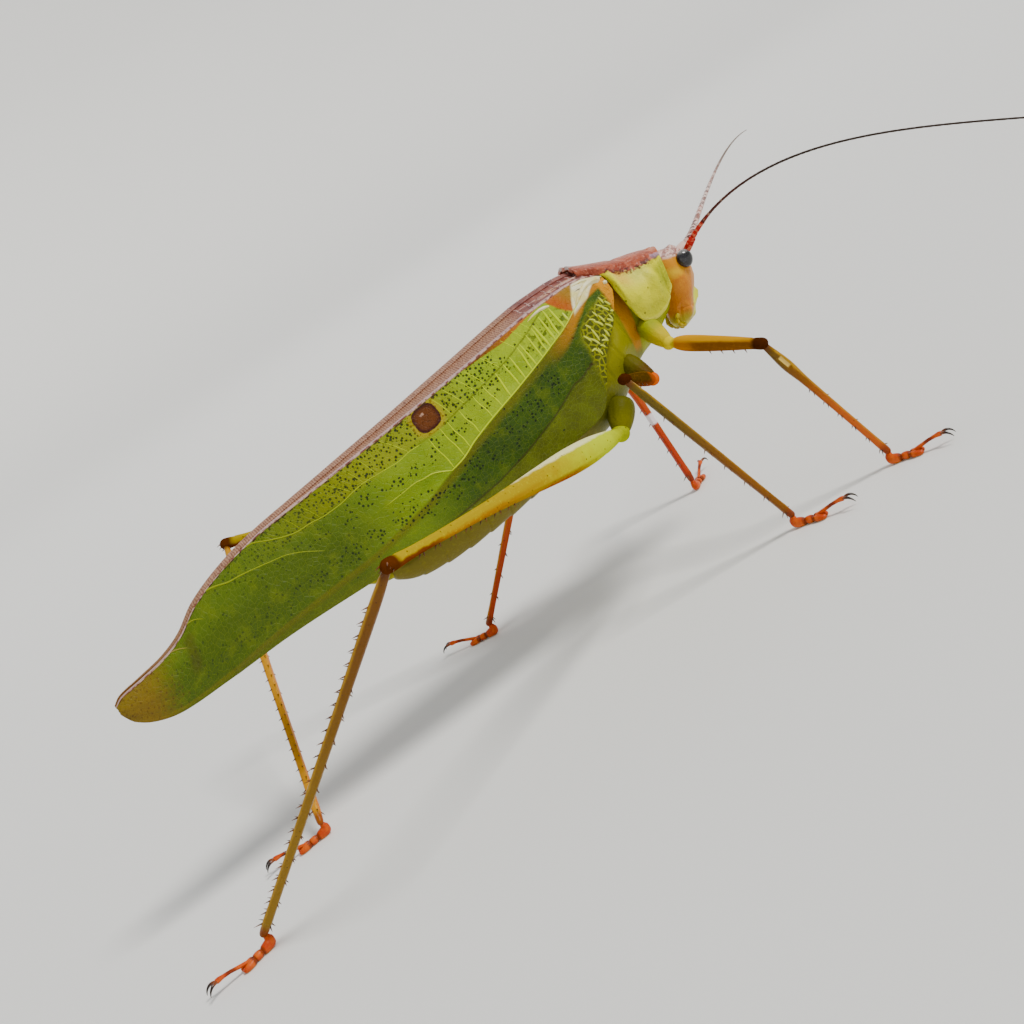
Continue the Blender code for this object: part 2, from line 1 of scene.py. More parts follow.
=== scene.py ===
"""The looks of a life-size long-horned grasshopper, a leaf-winged bush katydid, built round the
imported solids.

The insect faces +X. Each piece is modelled in millimetres from the wing hinge (x = 0), the mid
plane (y = 0) and the floor (z = 0), and is then settled into the solids' frame in metres.
"""

from math import cos, exp, pi, radians, sin

import bpy
import numpy as np
from mathutils import Matrix, Vector


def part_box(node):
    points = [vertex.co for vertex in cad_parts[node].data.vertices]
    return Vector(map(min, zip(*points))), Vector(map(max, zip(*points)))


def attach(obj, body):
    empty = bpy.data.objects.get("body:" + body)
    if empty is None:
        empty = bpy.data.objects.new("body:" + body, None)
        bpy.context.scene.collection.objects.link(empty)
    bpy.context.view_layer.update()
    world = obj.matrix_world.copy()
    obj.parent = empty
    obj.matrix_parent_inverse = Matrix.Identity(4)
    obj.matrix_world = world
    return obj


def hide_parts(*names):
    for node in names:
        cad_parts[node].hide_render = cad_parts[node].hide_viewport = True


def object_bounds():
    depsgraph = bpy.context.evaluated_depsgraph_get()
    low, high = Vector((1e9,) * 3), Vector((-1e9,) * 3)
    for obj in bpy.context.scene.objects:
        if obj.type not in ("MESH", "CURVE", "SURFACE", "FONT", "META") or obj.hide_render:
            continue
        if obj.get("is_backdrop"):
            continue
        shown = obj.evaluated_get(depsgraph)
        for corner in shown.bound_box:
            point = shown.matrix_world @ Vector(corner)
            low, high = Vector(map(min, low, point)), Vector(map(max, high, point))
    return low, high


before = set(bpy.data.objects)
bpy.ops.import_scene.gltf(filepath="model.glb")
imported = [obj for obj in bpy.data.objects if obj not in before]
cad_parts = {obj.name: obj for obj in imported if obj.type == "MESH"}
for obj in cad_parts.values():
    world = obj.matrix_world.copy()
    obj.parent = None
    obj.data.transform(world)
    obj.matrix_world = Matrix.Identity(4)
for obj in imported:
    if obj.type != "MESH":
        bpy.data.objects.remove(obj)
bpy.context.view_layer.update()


# ------------------------------------------------------------------ the studio
# A plain pale floor, soft lamps and the camera. The insect stands level on the floor, so the
# camera is rolled instead, to see the insect climb with its head up.

MM = 0.001
SADDLE_BACK = 2.2                    # the pronotum's hind edge lies this far behind the hinge
saddle_low, saddle_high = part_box("pronotum")
HINGE = Vector((saddle_low.x + SADDLE_BACK * MM, (saddle_low.y + saddle_high.y) / 2, 0))

CAMERA_PLACE = Vector((-56.68, -139.32, 50.13))
CAMERA_TURN, CAMERA_PITCH, CAMERA_ROLL = radians(-15), radians(14), radians(32.689)
CAMERA_ANGLE = radians(36.181)
FLOOR_RADIUS = 0.9
FLOOR_SWEEP = ((1.25, 0.01), (1.5, 0.05), (1.7, 0.14), (1.83, 0.28), (1.9, 0.5), (1.93, 0.75))
KEY_TOWARD = (-0.45, 0.40, -0.80)     # the way the key lamp shines
KEY_STRENGTH, KEY_SPREAD = 3, radians(16)
RIM_PLACE, RIM_AIM, RIM_WIDTH, RIM_WATTS = (120, 360, 260), (-22, 0, 18), 300, 0.2
ROOM_STRENGTH = 0.5


def studio_camera():
    back = Vector((sin(CAMERA_TURN) * cos(CAMERA_PITCH), -cos(CAMERA_TURN) * cos(CAMERA_PITCH),
                   sin(CAMERA_PITCH)))
    level = Vector((0, 0, 1)).cross(back).normalized()
    above = back.cross(level)
    right = level * cos(CAMERA_ROLL) - above * sin(CAMERA_ROLL)
    up = level * sin(CAMERA_ROLL) + above * cos(CAMERA_ROLL)
    bpy.ops.object.camera_add()
    camera = bpy.context.object
    camera.matrix_world = (Matrix.Translation(HINGE + CAMERA_PLACE * MM)
                           @ Matrix((right, up, back)).transposed().to_4x4())
    camera.data.angle = CAMERA_ANGLE
    camera.data.clip_start = 0.005
    camera.data.dof.use_dof = False
    bpy.context.scene.camera = camera


def studio_floor():
    """A round floor whose rim sweeps up into a backdrop on every side."""
    bpy.ops.mesh.primitive_circle_add(vertices=96, radius=FLOOR_RADIUS, fill_type="NGON")
    floor = bpy.context.object
    floor.name = "floor"
    bpy.ops.object.mode_set(mode="EDIT")
    bpy.ops.mesh.select_all(action="SELECT")
    spread, height = 1, 0
    for wider, higher in FLOOR_SWEEP:
        bpy.ops.mesh.extrude_region_move(TRANSFORM_OT_translate={"value": (0, 0, higher - height)})
        bpy.ops.transform.resize(value=(wider / spread, wider / spread, 1))
        spread, height = wider, higher
    bpy.ops.mesh.delete(type="ONLY_FACE")
    bpy.ops.object.mode_set(mode="OBJECT")
    bpy.ops.object.shade_smooth()
    pale = bpy.data.materials.new("pale_floor")
    pale.use_nodes = True
    shader = pale.node_tree.nodes["Principled BSDF"]
    shader.inputs["Base Color"].default_value = (0.86, 0.86, 0.84, 1)
    shader.inputs["Roughness"].default_value = 0.8
    floor.data.materials.append(pale)
    floor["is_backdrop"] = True


def aim_lamp(lamp, name, energy, toward):
    lamp.name = name
    lamp.data.energy = energy
    lamp.rotation_euler = Vector(toward).to_track_quat("-Z", "Y").to_euler()


def studio_lamps():
    """One broad lamp far above the right front, a weak one behind, and a pale room."""
    bpy.ops.object.light_add(type="SUN", location=HINGE)
    key = bpy.context.object
    key.data.angle = KEY_SPREAD
    key.data.color = (1, 0.975, 0.93)
    aim_lamp(key, "key_lamp", KEY_STRENGTH, KEY_TOWARD)
    bpy.ops.object.light_add(type="AREA", location=HINGE + Vector(RIM_PLACE) * MM)
    rim = bpy.context.object
    rim.data.shape = "DISK"
    rim.data.size = RIM_WIDTH * MM
    aim_lamp(rim, "rim_lamp", RIM_WATTS, HINGE + Vector(RIM_AIM) * MM - rim.location)
    bpy.context.scene.world = bpy.context.scene.world or bpy.data.worlds.new("studio")
    room = bpy.context.scene.world
    room.use_nodes = True
    air = room.node_tree.nodes["Background"]
    air.inputs["Color"].default_value = (0.9, 0.92, 0.94, 1)
    air.inputs["Strength"].default_value = ROOM_STRENGTH


bpy.ops.object.select_all(action="DESELECT")
studio_camera()
studio_floor()
studio_lamps()


# ------------------------------------------------------------------ trunk
# Thorax and abdomen under the wings: a yellow-green, satin cuticle of hard plates that overlap
# like roof tiles, with soft folds between. It is one skin from the neck to the last ring.

def faired(stations, x):
    """The value at x of a smooth curve through (x, value) stations sorted by x."""
    if x <= stations[0][0]:
        return stations[0][1]
    if x >= stations[-1][0]:
        return stations[-1][1]
    i = max(k for k in range(len(stations) - 1) if stations[k][0] <= x)
    (x1, v1), (x2, v2) = stations[i], stations[i + 1]
    x0, v0 = stations[max(i - 1, 0)]
    x3, v3 = stations[min(i + 2, len(stations) - 1)]
    slope1 = (v2 - v0) / (x2 - x0)
    slope2 = (v3 - v1) / (x3 - x1)
    span = x2 - x1
    t = (x - x1) / span
    return (v1 * (2 * t ** 3 - 3 * t ** 2 + 1) + v2 * (3 * t ** 2 - 2 * t ** 3)
            + slope1 * span * (t ** 3 - 2 * t ** 2 + t) + slope2 * span * (t ** 3 - t ** 2))


def pick(*pieces):
    """Selects these pieces alone; the first is the active one."""
    bpy.ops.object.select_all(action="DESELECT")
    for piece in pieces:
        piece.select_set(True)
    bpy.context.view_layer.objects.active = pieces[0]


def draw_out(name, sides, stations):
    """A closed rod along +X. A disc is extruded from station to station, each with its x, the
    rise of its middle, and half its width and height there."""
    bpy.ops.object.select_all(action="DESELECT")
    bpy.ops.mesh.primitive_circle_add(vertices=sides, radius=1, fill_type="NGON",
                                      rotation=(0, pi / 2, 0))
    bpy.ops.object.transform_apply(rotation=True)
    rod = bpy.context.object
    rod.name = name
    bpy.ops.object.mode_set(mode="EDIT")
    bpy.ops.mesh.select_all(action="SELECT")
    x, rise, wide, high = stations[0]
    bpy.ops.transform.resize(value=(1, wide, high))
    bpy.ops.transform.translate(value=(x, 0, rise))
    for next_x, next_rise, next_wide, next_high in stations[1:]:
        step = (next_x - x, 0, next_rise - rise)
        bpy.ops.mesh.extrude_region_move(TRANSFORM_OT_translate={"value": step})
        bpy.ops.transform.resize(value=(1, next_wide / wide, next_high / high),
                                 center_override=(next_x, 0, next_rise))
        x, rise, wide, high = next_x, next_rise, next_wide, next_high
    bpy.ops.mesh.select_all(action="SELECT")
    bpy.ops.mesh.normals_make_consistent(inside=False)
    bpy.ops.object.mode_set(mode="OBJECT")
    return rod


def refine(piece, levels):
    """Rounds a piece with an applied Subdivision Surface."""
    bpy.context.view_layer.objects.active = piece
    step = piece.modifiers.new("Round", "SUBSURF")
    step.levels = levels
    step.render_levels = levels
    bpy.ops.object.modifier_apply(modifier=step.name)
    return piece


def corners(piece):
    """A piece's points and outward directions as two arrays."""
    count = len(piece.data.vertices)
    places = np.empty(count * 3, np.float32)
    piece.data.vertices.foreach_get("co", places)
    outward = np.empty(count * 3, np.float32)
    piece.data.vertex_normals.foreach_get("vector", outward)
    return places.reshape(-1, 3).astype(float), outward.reshape(-1, 3).astype(float)


def put_corners(piece, places):
    piece.data.vertices.foreach_set("co", np.asarray(places, np.float32).ravel())
    piece.data.update()


def press(piece, ridges, mirror=True):
    """Raises soft ridges, or sinks grooves: each has its route of points, its half width, and its
    height, which is below 0 for a groove. The mirror gives the other side the same."""
    for route, width, height in ridges:
        places, outward = corners(piece)
        routes = [route, [(x, -y, z) for x, y, z in route]] if mirror else [route]
        lift = np.zeros(len(places))
        for points in routes:
            points = [np.array(p, float) for p in points]
            nearest = np.linalg.norm(places - points[0], axis=1)
            for start, end in zip(points, points[1:]):
                along = end - start
                share = np.clip((places - start) @ along / (along @ along), 0, 1)
                gap = np.linalg.norm(places - start - share[:, None] * along, axis=1)
                nearest = np.minimum(nearest, gap)
            lift = np.maximum(lift, np.exp(-(nearest / width) ** 2))
        put_corners(piece, places + outward * (lift * height)[:, None])


def keep_lie(piece, lie=None):
    """Stores each point's own place in millimetres, so that a pattern stays with the piece."""
    values = corners(piece)[0] if lie is None else np.asarray(lie)
    layer = piece.data.attributes.new("lie", "FLOAT_VECTOR", "POINT")
    layer.data.foreach_set("vector", values.astype(np.float32).ravel())


def settle(piece, slot, nodes, finish, smooth=40):
    """Puts a finished piece into the solids' frame, in metres, with its finish."""
    pick(piece)
    piece.scale = (MM, MM, MM)
    piece.location = HINGE
    bpy.ops.object.transform_apply(location=True, rotation=True, scale=True)
    bpy.ops.object.shade_smooth_by_angle(angle=radians(smooth))
    if finish:
        piece.data.materials.clear()
        piece.data.materials.append(finish.material)
    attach(piece, "root")
    if nodes:
        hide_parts(*nodes)


WAX_SHINE = 0.18                     # how far waxy cuticle mirrors the room


def dye(red, green, blue):
    """A colour as it looks under the lamps, 0 to 255, for a shader. It is deepened, because the
    view's tone curve pales strong colours."""
    def linear(share):
        return share / 12.92 if share <= 0.04045 else ((share + 0.055) / 1.055) ** 2.4
    shades = [linear(part / 255) for part in (red, green, blue)]
    grey = 0.3 * shades[0] + 0.6 * shades[1] + 0.1 * shades[2]
    return tuple(max(0.003, grey + (shade - grey) * 1.16) for shade in shades) + (1,)


def sum_node(operation, swapped=False):
    """An operator of Tone, which adds one Math node."""
    def work(self, other=0):
        first, second = (other, self) if swapped else (self, other)
        return self.node("Math", {"operation": operation}, {0: first, 1: second})
    return work


class Tone:
    """A number, colour or place in a finish's nodes. Sums on it add Math nodes."""

    def __init__(self, tree, socket):
        self.tree = tree
        self.socket = socket

    def node(self, kind, settings, inputs, outlet=0):
        """Adds any node: its type, its settings, and the values or links of its sockets."""
        made = self.tree.nodes.new("ShaderNode" + kind)
        for name, value in settings.items():
            setattr(made, name, value)
        for name, value in inputs.items():
            if isinstance(value, Tone):
                self.tree.links.new(value.socket, made.inputs[name])
            else:
                made.inputs[name].default_value = value
        return Tone(self.tree, made.outputs[outlet])

    __add__, __radd__ = sum_node("ADD"), sum_node("ADD", True)
    __sub__, __rsub__ = sum_node("SUBTRACT"), sum_node("SUBTRACT", True)
    __mul__, __rmul__ = sum_node("MULTIPLY"), sum_node("MULTIPLY", True)
    __truediv__, __pow__, __abs__ = sum_node("DIVIDE"), sum_node("POWER"), sum_node("ABSOLUTE")

    def rise(self, low, high):
        """0 at low and 1 at high, with a soft change between; low may be the greater."""
        return self.node("MapRange", {"interpolation_type": "SMOOTHSTEP"},
                         {"Value": self, "From Min": low, "From Max": high})

    def mix(self, under, over):
        """One colour where this mask is 0 and the other where it is 1."""
        under, over = (shade if isinstance(shade, Tone) else dye(*shade) for shade in (under, over))
        return self.node("Mix", {"data_type": "RGBA"}, {0: self, 6: under, 7: over}, 2)

    def lay(self, mask, *over):
        """Lays another colour over this one where the mask is 1: red, green, blue, or a tone."""
        self.socket = mask.mix(self, over if len(over) == 3 else over[0]).socket
        return self

    def part(self, axis):
        return self.node("SeparateXYZ", {}, {0: self}, axis)

    def noise(self, scale, detail=2):
        """Soft cloudy patches, so many to the millimetre, from 0 to 1."""
        return self.node("TexNoise", {}, {"Vector": self, "Scale": scale, "Detail": detail})

    def cells(self, scale, feature="F1", outlet="Distance", flat="3D"):
        """Cells round scattered points, so many to the millimetre: how far the point or edge is."""
        choices = {"feature": feature, "voronoi_dimensions": flat}
        return self.node("TexVoronoi", choices, {"Vector": self, "Scale": scale}, outlet)


class Finish:
    """A material: its shader, and the place on the piece in millimetres. The place is measured
    from the wing hinge, or is the piece's own lie."""

    def __init__(self, name, roughness, own_lie=False, **constants):
        self.material = bpy.data.materials.new(name)
        self.material.use_nodes = True
        tree = self.material.node_tree
        self.shader = tree.nodes["Principled BSDF"]
        self.shader.inputs["Roughness"].default_value = roughness
        self.shader.inputs["Specular IOR Level"].default_value = WAX_SHINE
        for socket, value in constants.items():
            self.shader.inputs[socket.replace("_", " ")].default_value = value
        if own_lie:
            self.place = self.lie()
        else:
            metres = Tone(tree, None).node("TexCoord", {}, {}, "Object")
            self.place = metres.node("VectorMath", {"operation": "MULTIPLY_ADD"},
                                     {0: metres, 1: (1 / MM,) * 3, 2: tuple(-HINGE / MM)})
        self.x, self.y, self.z = (self.place.part(axis) for axis in range(3))

    def lie(self):
        """The place that keep_lie stored, in millimetres."""
        tree = self.material.node_tree
        return Tone(tree, None).node("Attribute", {"attribute_name": "lie"}, {}, "Vector")

    def wear(self, colour, roughness, height, depth):
        """Links the colour, the roughness, and a bump whose heights from 0 to 1 span that depth in
        millimetres."""
        bump = height.node("Bump", {}, {"Height": height, "Distance": depth * MM, "Strength": 1},
                           "Normal")
        for tone, socket in ((colour, "Base Color"), (roughness, "Roughness"), (bump, "Normal")):
            tone.tree.links.new(tone.socket, self.shader.inputs[socket])


def two_tone(name, roughness, clouds, spread, dark, light, least, depth, **constants):
    """A plain finish of horn or skin: clouds of a light colour in a dark one. The clouds are so
    many to the millimetre, and so detailed."""
    made = Finish(name, roughness, **constants)
    fine = made.place.noise(*clouds)
    made.wear(fine.rise(*spread).mix(dark, light), fine * 0.2 + least, fine, depth)
    return made


THORAX_TOP = ((-9.6, 25.2), (-7, 26.3), (-4.5, 27), (-2, 27.3), (0.5, 27), (3, 26),
              (5.2, 25), (6.4, 24.4))
THORAX_FOOT = ((-9.6, 15), (-7.5, 15.1), (-5, 15.9), (-2.5, 17.5), (0, 19), (2.5, 19.8),
               (4.6, 21), (6.4, 21.8))
THORAX_HALF = ((-9.6, 3.2), (-7.5, 3.55), (-5, 3.6), (-2.5, 3.15), (-0.8, 2.1), (1, 1.75),
               (3, 1.6), (4.6, 1.35), (6.4, 1.1))
ABDOMEN_TOP = ((-32.4, 18.6), (-29, 20.4), (-24, 22.2), (-19, 23.3), (-14, 24.3),
               (-9.6, 25.2))
ABDOMEN_FOOT = ((-32.4, 15.7), (-30.5, 14.5), (-26, 13.8), (-20, 13.9), (-14, 14.4),
                (-9.6, 15))
ABDOMEN_HALF = ((-32.4, 1.2), (-30, 1.9), (-25, 2.5), (-19, 2.9), (-14, 3.1),
                (-9.6, 3.15))
ABDOMEN_FRONT = -9.6
ABDOMEN_BACK = -32.3
ABDOMEN_RINGS = 9
THORAX_FRONT = 6.4
THORAX_STATIONS = 33
RING_LAP = 0.07                      # each ring's hind edge stands out over the next ring


def trunk_station(x, tops, feet, halves, grow=0):
    top = faired(tops, x)
    foot = faired(feet, x)
    return (x, (top + foot) / 2, faired(halves, x) + grow, (top - foot) / 2 + grow)


def trunk_stations():
    stations = [(ABDOMEN_BACK - 0.1, 17.1, 0.55, 0.9)]        # the small end of the last ring
    ring = (ABDOMEN_FRONT - ABDOMEN_BACK) / ABDOMEN_RINGS
    for i in range(ABDOMEN_RINGS):
        start = ABDOMEN_BACK + ring * i
        for share, grow in ((0.02, RING_LAP), (0.12, RING_LAP * 0.9), (0.45, 0.03), (0.8, -0.02),
                            (0.95, -0.05), (0.99, -0.06)):
            stations.append(trunk_station(start + ring * share, ABDOMEN_TOP, ABDOMEN_FOOT,
                                          ABDOMEN_HALF, grow))
    for i in range(THORAX_STATIONS):
        x = ABDOMEN_FRONT + (THORAX_FRONT - ABDOMEN_FRONT) * (i + 0.4) / THORAX_STATIONS
        stations.append(trunk_station(x, THORAX_TOP, THORAX_FOOT, THORAX_HALF))
    return stations


trunk = refine(draw_out("trunk_skin", 28, trunk_stations()), 2)
press(trunk, (
    # the seams between the side plates of the thorax, from below the wings to the coxae
    ([(-8.6, -3.4, 24), (-7.6, -3.6, 20.5), (-6.4, -3.4, 17.6)], 0.16, -0.16),
    ([(-6, -3.6, 24.6), (-5.1, -3.7, 21), (-4.4, -3.2, 18.2)], 0.14, -0.13),
    ([(-4, -3.5, 25), (-3.2, -3.2, 21.6), (-2.2, -2.5, 19)], 0.16, -0.18),
    ([(-1.4, -2.3, 25), (-0.8, -2.1, 21.8), (-0.4, -1.7, 20)], 0.14, -0.15),
    ([(-6.9, -3.6, 23.2), (-5.9, -3.6, 19.4)], 0.5, 0.14),
    ([(-3.6, -3.2, 23.4), (-2.6, -2.8, 20.2)], 0.45, 0.12),
    # the breathing slit on each side and the fold where back and belly plates meet
    ([(-3.1, -3.1, 23.6), (-2.9, -3, 23)], 0.12, -0.25),
    ([(-31, -1.6, 16.6), (-24, -2.5, 16.9), (-16, -3, 17.3), (-10.2, -3.1, 18)],
     0.22, -0.16)))

cuticle = Finish("trunk_cuticle", 0.45)
cloud = cuticle.place.noise(0.35, 3)
olive = (cuticle.z + cloud * 3).rise(17, 24.5).mix((92, 96, 6), (134, 132, 12))
olive = cuticle.x.rise(-12, -6).mix((108, 98, 10), olive)
slant = cuticle.x - cuticle.z * 0.16 + cloud * 0.4 + 3.8
strip = (cuticle.x + cloud * 0.4).rise(-0.7, -0.3) * slant.rise(1.2, 0.8)
warm = (strip * cuticle.z.rise(19.6, 20.6)).mix(olive, (196, 140, 12))
warm.lay(slant.rise(0.8, 1.2) * cuticle.z.rise(18.8, 20), 156, 162, 14)
fine = cuticle.place.noise(3.2, 4)
speck = cuticle.place.cells(1.9).rise(0.14, 0.07) * cuticle.place.noise(0.8).rise(0.52, 0.64)
warm.lay(fine.rise(0.5, 0.8) * 0.3, 150, 146, 30)
warm.lay(speck * 0.8, 58, 56, 8)
cuticle.wear(warm, fine * 0.22 + 0.3, cuticle.place.cells(5) * 0.5 + fine * 0.5, 0.05)
settle(trunk, "thorax", ["thorax", "abdomen"], cuticle)


# ------------------------------------------------------------------ pronotum
# The saddle over the neck and shoulders: one hard, thin, grainy plate with a flat rusty back
# between two wavy keels and a yellow-green lobe down each side. It grows from the thorax.

DISC_TOP = ((-2.2, 30.45), (0, 29.45), (2.5, 28.45), (5, 27.75), (7.2, 26.95))
DISC_HALF = ((-2.2, 1.9), (0, 2.45), (2.5, 2.35), (5, 2.15), (7.2, 1.75))
LOBE_FOOT = ((-2.2, 29.2), (-0.9, 28.6), (-0.1, 28), (0.3, 26), (0.7, 23.2), (1.4, 22.1),
             (2.9, 21.8), (4.6, 22.6), (5.8, 24.4), (6.5, 25.6), (7.2, 26.2))
LOBE_BULGE = 0.75
KEEL_DROP = 0.45
SADDLE_FRONT_X = ((0, 6.75), (0.5, 6.6), (1, 6.15), (1.25, 5.9), (1.45, 5.7), (1.7, 5.45),
                  (2, 5.3))         # the front edge, by share
SADDLE_WALL = 0.34


def saddle_point(x, share):
    """A point on the saddle. The share runs from 0 on the mid line over 1 at the keel to 2 at
    the lobe's edge, and below 0 on the right."""
    side = -1 if share < 0 else 1
    share = abs(share)
    top, half, foot = faired(DISC_TOP, x), faired(DISC_HALF, x), faired(LOBE_FOOT, x)
    keel = top - KEEL_DROP
    if share <= 1:
        return (x, side * half * share, top - KEEL_DROP * share ** 2.6)
    down = share - 1
    drop = max(keel - foot, 0.25)
    bulge = LOBE_BULGE * min(1, drop / 4) * sin(pi * min(1, down * 0.85))
    return (x, side * (half + bulge), keel - drop * down)


def fitted_grid(name, columns, rows, point):
    """A grid whose points are moved by point(u, v), each from 0 to 1."""
    bpy.ops.object.select_all(action="DESELECT")
    bpy.ops.mesh.primitive_grid_add(x_subdivisions=columns, y_subdivisions=rows, size=2)
    sheet = bpy.context.object
    sheet.name = name
    shares = (corners(sheet)[0] + 1) / 2
    put_corners(sheet, [point(u, v) for u, v, _ in shares])
    return sheet


def give_wall(sheet, wall, offset=0):
    """Gives a sheet its thickness with an applied Solidify."""
    bpy.context.view_layer.objects.active = sheet
    step = sheet.modifiers.new("Wall", "SOLIDIFY")
    step.thickness = wall
    step.offset = offset
    bpy.ops.object.modifier_apply(modifier=step.name)


def saddle_place(u, v):
    share = 4 * v - 2
    front = faired(SADDLE_FRONT_X, abs(share))
    return saddle_point(-SADDLE_BACK + (front + SADDLE_BACK) * u, share)


SADDLE_COLUMNS, SADDLE_ROWS = 130, 130
KEEL_SHARE = 1.16                    # the edge of the rusty back, a little below the shoulder
KEEL_KNOBS = 22


def saddle_line(*stations):
    return [saddle_point(x, share) for x, share in stations]


saddle = fitted_grid("pronotum_plate", SADDLE_COLUMNS, SADDLE_ROWS, saddle_place)
press(saddle, [(saddle_line((-0.9 + 6.6 * i / (KEEL_KNOBS - 1), -KEEL_SHARE - 0.03 * sin(i * 3.1))),
                0.17, 0.09 + 0.07 * sin(i * 2.3)) for i in range(KEEL_KNOBS)])
press(saddle, (
    (saddle_line(*((x, -KEEL_SHARE) for x in (-1.6, 0, 1.5, 3, 4.5, 5.6))), 0.12, 0.07),
    (saddle_line((5.45, -1.12)), 0.26, 0.2),                  # a shiny knob in front
    ([saddle_place(0.995, v / 24) for v in range(12)], 0.2, 0.16),        # the front rim
    ([saddle_place(0.93, v / 24) for v in range(12)], 0.13, -0.09),
    (saddle_line((-2.1, -0.5), (-2.1, -0.3)), 0.28, 0.16),
    (saddle_line(*((x, -1.97) for x in (0.2, 0.5, 0.9, 1.5, 2.5, 3.6, 4.6, 5.2, 5.5))), 0.17, 0.13),
    (saddle_line(*((x, 0) for x in (-1.8, 1, 4, 6.3))), 0.16, 0.06),
    # the cross furrow of the back, which runs down each lobe, and the dents beside it
    (saddle_line((2.3, 0), (2.5, -0.6), (2.9, -0.95), (3.3, -1.25), (3.2, -1.5), (2.7, -1.7)), 0.3, -0.08),
    (saddle_line((4.5, -1.3), (4.75, -1.5), (4.6, -1.75)), 0.4, -0.14),
    (saddle_line((3.9, -1.35), (4, -1.65)), 0.35, 0.12),
    (saddle_line((1.3, -1.3), (1.7, -1.7)), 0.6, 0.1),
    (saddle_line((2.4, -1.84), (3.4, -1.86)), 0.4, -0.1)))
shares = [4 * j / SADDLE_ROWS - 2 for j in range(SADDLE_ROWS + 1) for i in range(SADDLE_COLUMNS + 1)]
places = corners(saddle)[0]
keep_lie(saddle, np.stack([places[:, 0], np.abs(shares), places[:, 2]], axis=1))
give_wall(saddle, SADDLE_WALL, -0.8)

plate = Finish("saddle_cuticle", 0.42, Coat_Weight=0.12, Coat_Roughness=0.3)
x, share = plate.lie().part(0), plate.lie().part(1)
grain = plate.place.cells(5.5)
cloud = plate.place.noise(0.9, 3)
fine = plate.place.noise(4, 4)
blotch = plate.place.noise(2.2, 2)
rust = cloud.rise(0.35, 0.68).mix((156, 78, 60), (194, 110, 84))
rust.lay(fine.rise(0.5, 0.72) * 0.7, 222, 156, 130)
rust.lay(blotch.rise(0.56, 0.68) * 0.55, 104, 44, 38)
rust.lay(share.rise(0.75, 1) * 0.35, 120, 54, 46)
rust.lay(x.rise(5.4, 6.4) * 0.6, 196, 116, 74)
lobe = (plate.z + cloud * 2).rise(22.5, 27).mix((178, 178, 20), (224, 220, 52))
pale = share.rise(1.55, 1.15) * x.rise(5, 3) * x.rise(0.2, 1)
lobe.lay(pale * (cloud.rise(0.2, 0.6) * 0.4 + 0.55), 246, 240, 140)
green = x.rise(4.2, 4.9) * share.rise(1.2, 1.4) * share.rise(1.95, 1.75)
lobe.lay(green * 0.7, 150, 158, 10)
lobe.lay(plate.place.noise(0.6).rise(0.5, 0.75) * 0.45, 142, 152, 20)
lobe.lay(fine.rise(0.56, 0.72) * 0.5, 220, 216, 90)
specks = plate.place.cells(1.35).rise(0.2, 0.1) * cloud.rise(0.46, 0.56) * x.rise(5.2, 4.8)
lobe.lay(specks * 0.75, 60, 66, 12)
small = plate.place.cells(3.2).rise(0.2, 0.1) * blotch.rise(0.52, 0.6)
lobe.lay(small * 0.5, 112, 118, 16)
# the rusty back ends in a ragged dark line, and behind the lobe it covers the whole side
border = share + (fine - 0.5) * 0.16 + x.rise(0.4, -0.5) * -0.9
over_keel = border.rise(1.2, 1.14)
skin = over_keel.mix(lobe, rust)
ragged = border.rise(1.05, 1.13) * border.rise(1.22, 1.15) * blotch.rise(0.42, 0.52)
skin.lay(ragged * x.rise(-0.6, 0.4) * 0.85, 66, 26, 26)
glow = x.rise(0.3, 1) * x.rise(2.6, 1.2) * border.rise(1.12, 1.2) * border.rise(1.5, 1.25)
skin.lay(glow * 0.5, 222, 160, 60)
# a pale grey-white knob at the hind end, its pale colour partly a painted glint
knob = x.rise(-1.8, -2.05) * abs(share - 0.4).rise(0.3, 0.15)
skin.lay(knob * 0.85, 206, 196, 192)
front_bead = x.rise(5.05, 5.3) * border.rise(1, 1.06) * border.rise(1.2, 1.12)
skin.lay(front_bead * 0.7, 176, 150, 170)
rim = share.rise(1.93, 1.965) * x.rise(0.5, 1.2)
skin.lay(rim * 0.75, 226, 222, 110)
plate.wear(skin, fine * 0.25 + 0.26, grain * 0.5 + fine * 0.3 + blotch * 0.4, 0.08)
settle(saddle, "pronotum", ["pronotum"], plate, smooth=60)


# ------------------------------------------------------------------ head
# A rounded capsule with the clypeus, upper lip and jaws grown on below: smooth, satin orange
# cuticle, cream down the front, with a pinkish crown. The neck holds it under the saddle.

HEAD_TOP = Vector((8.05, 0, 26.35))
HEAD_FOOT = Vector((6.35, 0, 21.35))
HEAD_DOWN = (HEAD_FOOT - HEAD_TOP).normalized()
HEAD_FORWARD = HEAD_DOWN.cross(Vector((0, 1, 0))).normalized()
# along the head from the crown down, in mm: half width, half depth and how far forward
HEAD_HALF = ((0, 0.7), (0.3, 1.2), (0.65, 1.48), (1.6, 1.86), (2.9, 2.04), (4.2, 1.95),
             (5.28, 1.72), (6, 1.55), (6.7, 1.34), (7.3, 1), (7.75, 0.5))
HEAD_DEPTH = ((0, 1.35), (0.3, 1.85), (0.65, 2), (1.6, 2.16), (2.9, 2.16), (4.2, 1.87),
              (5.28, 1.58), (6, 1.47), (6.7, 1.28), (7.3, 1), (7.75, 0.5))
HEAD_SHIFT = ((0, -0.95), (0.3, -0.9), (0.65, -0.7), (1.6, -0.28), (2.9, -0.08), (4.2, -0.1),
              (5.2, -0.08), (6, 0.02), (6.7, -0.04), (7.3, -0.15), (7.75, -0.2))


def on_head(down, turn):
    """A point on the head: how far down, and the turn in degrees from the front to the right."""
    angle = radians(turn)
    return (down, -faired(HEAD_HALF, down) * sin(angle),
            faired(HEAD_SHIFT, down) + faired(HEAD_DEPTH, down) * cos(angle))


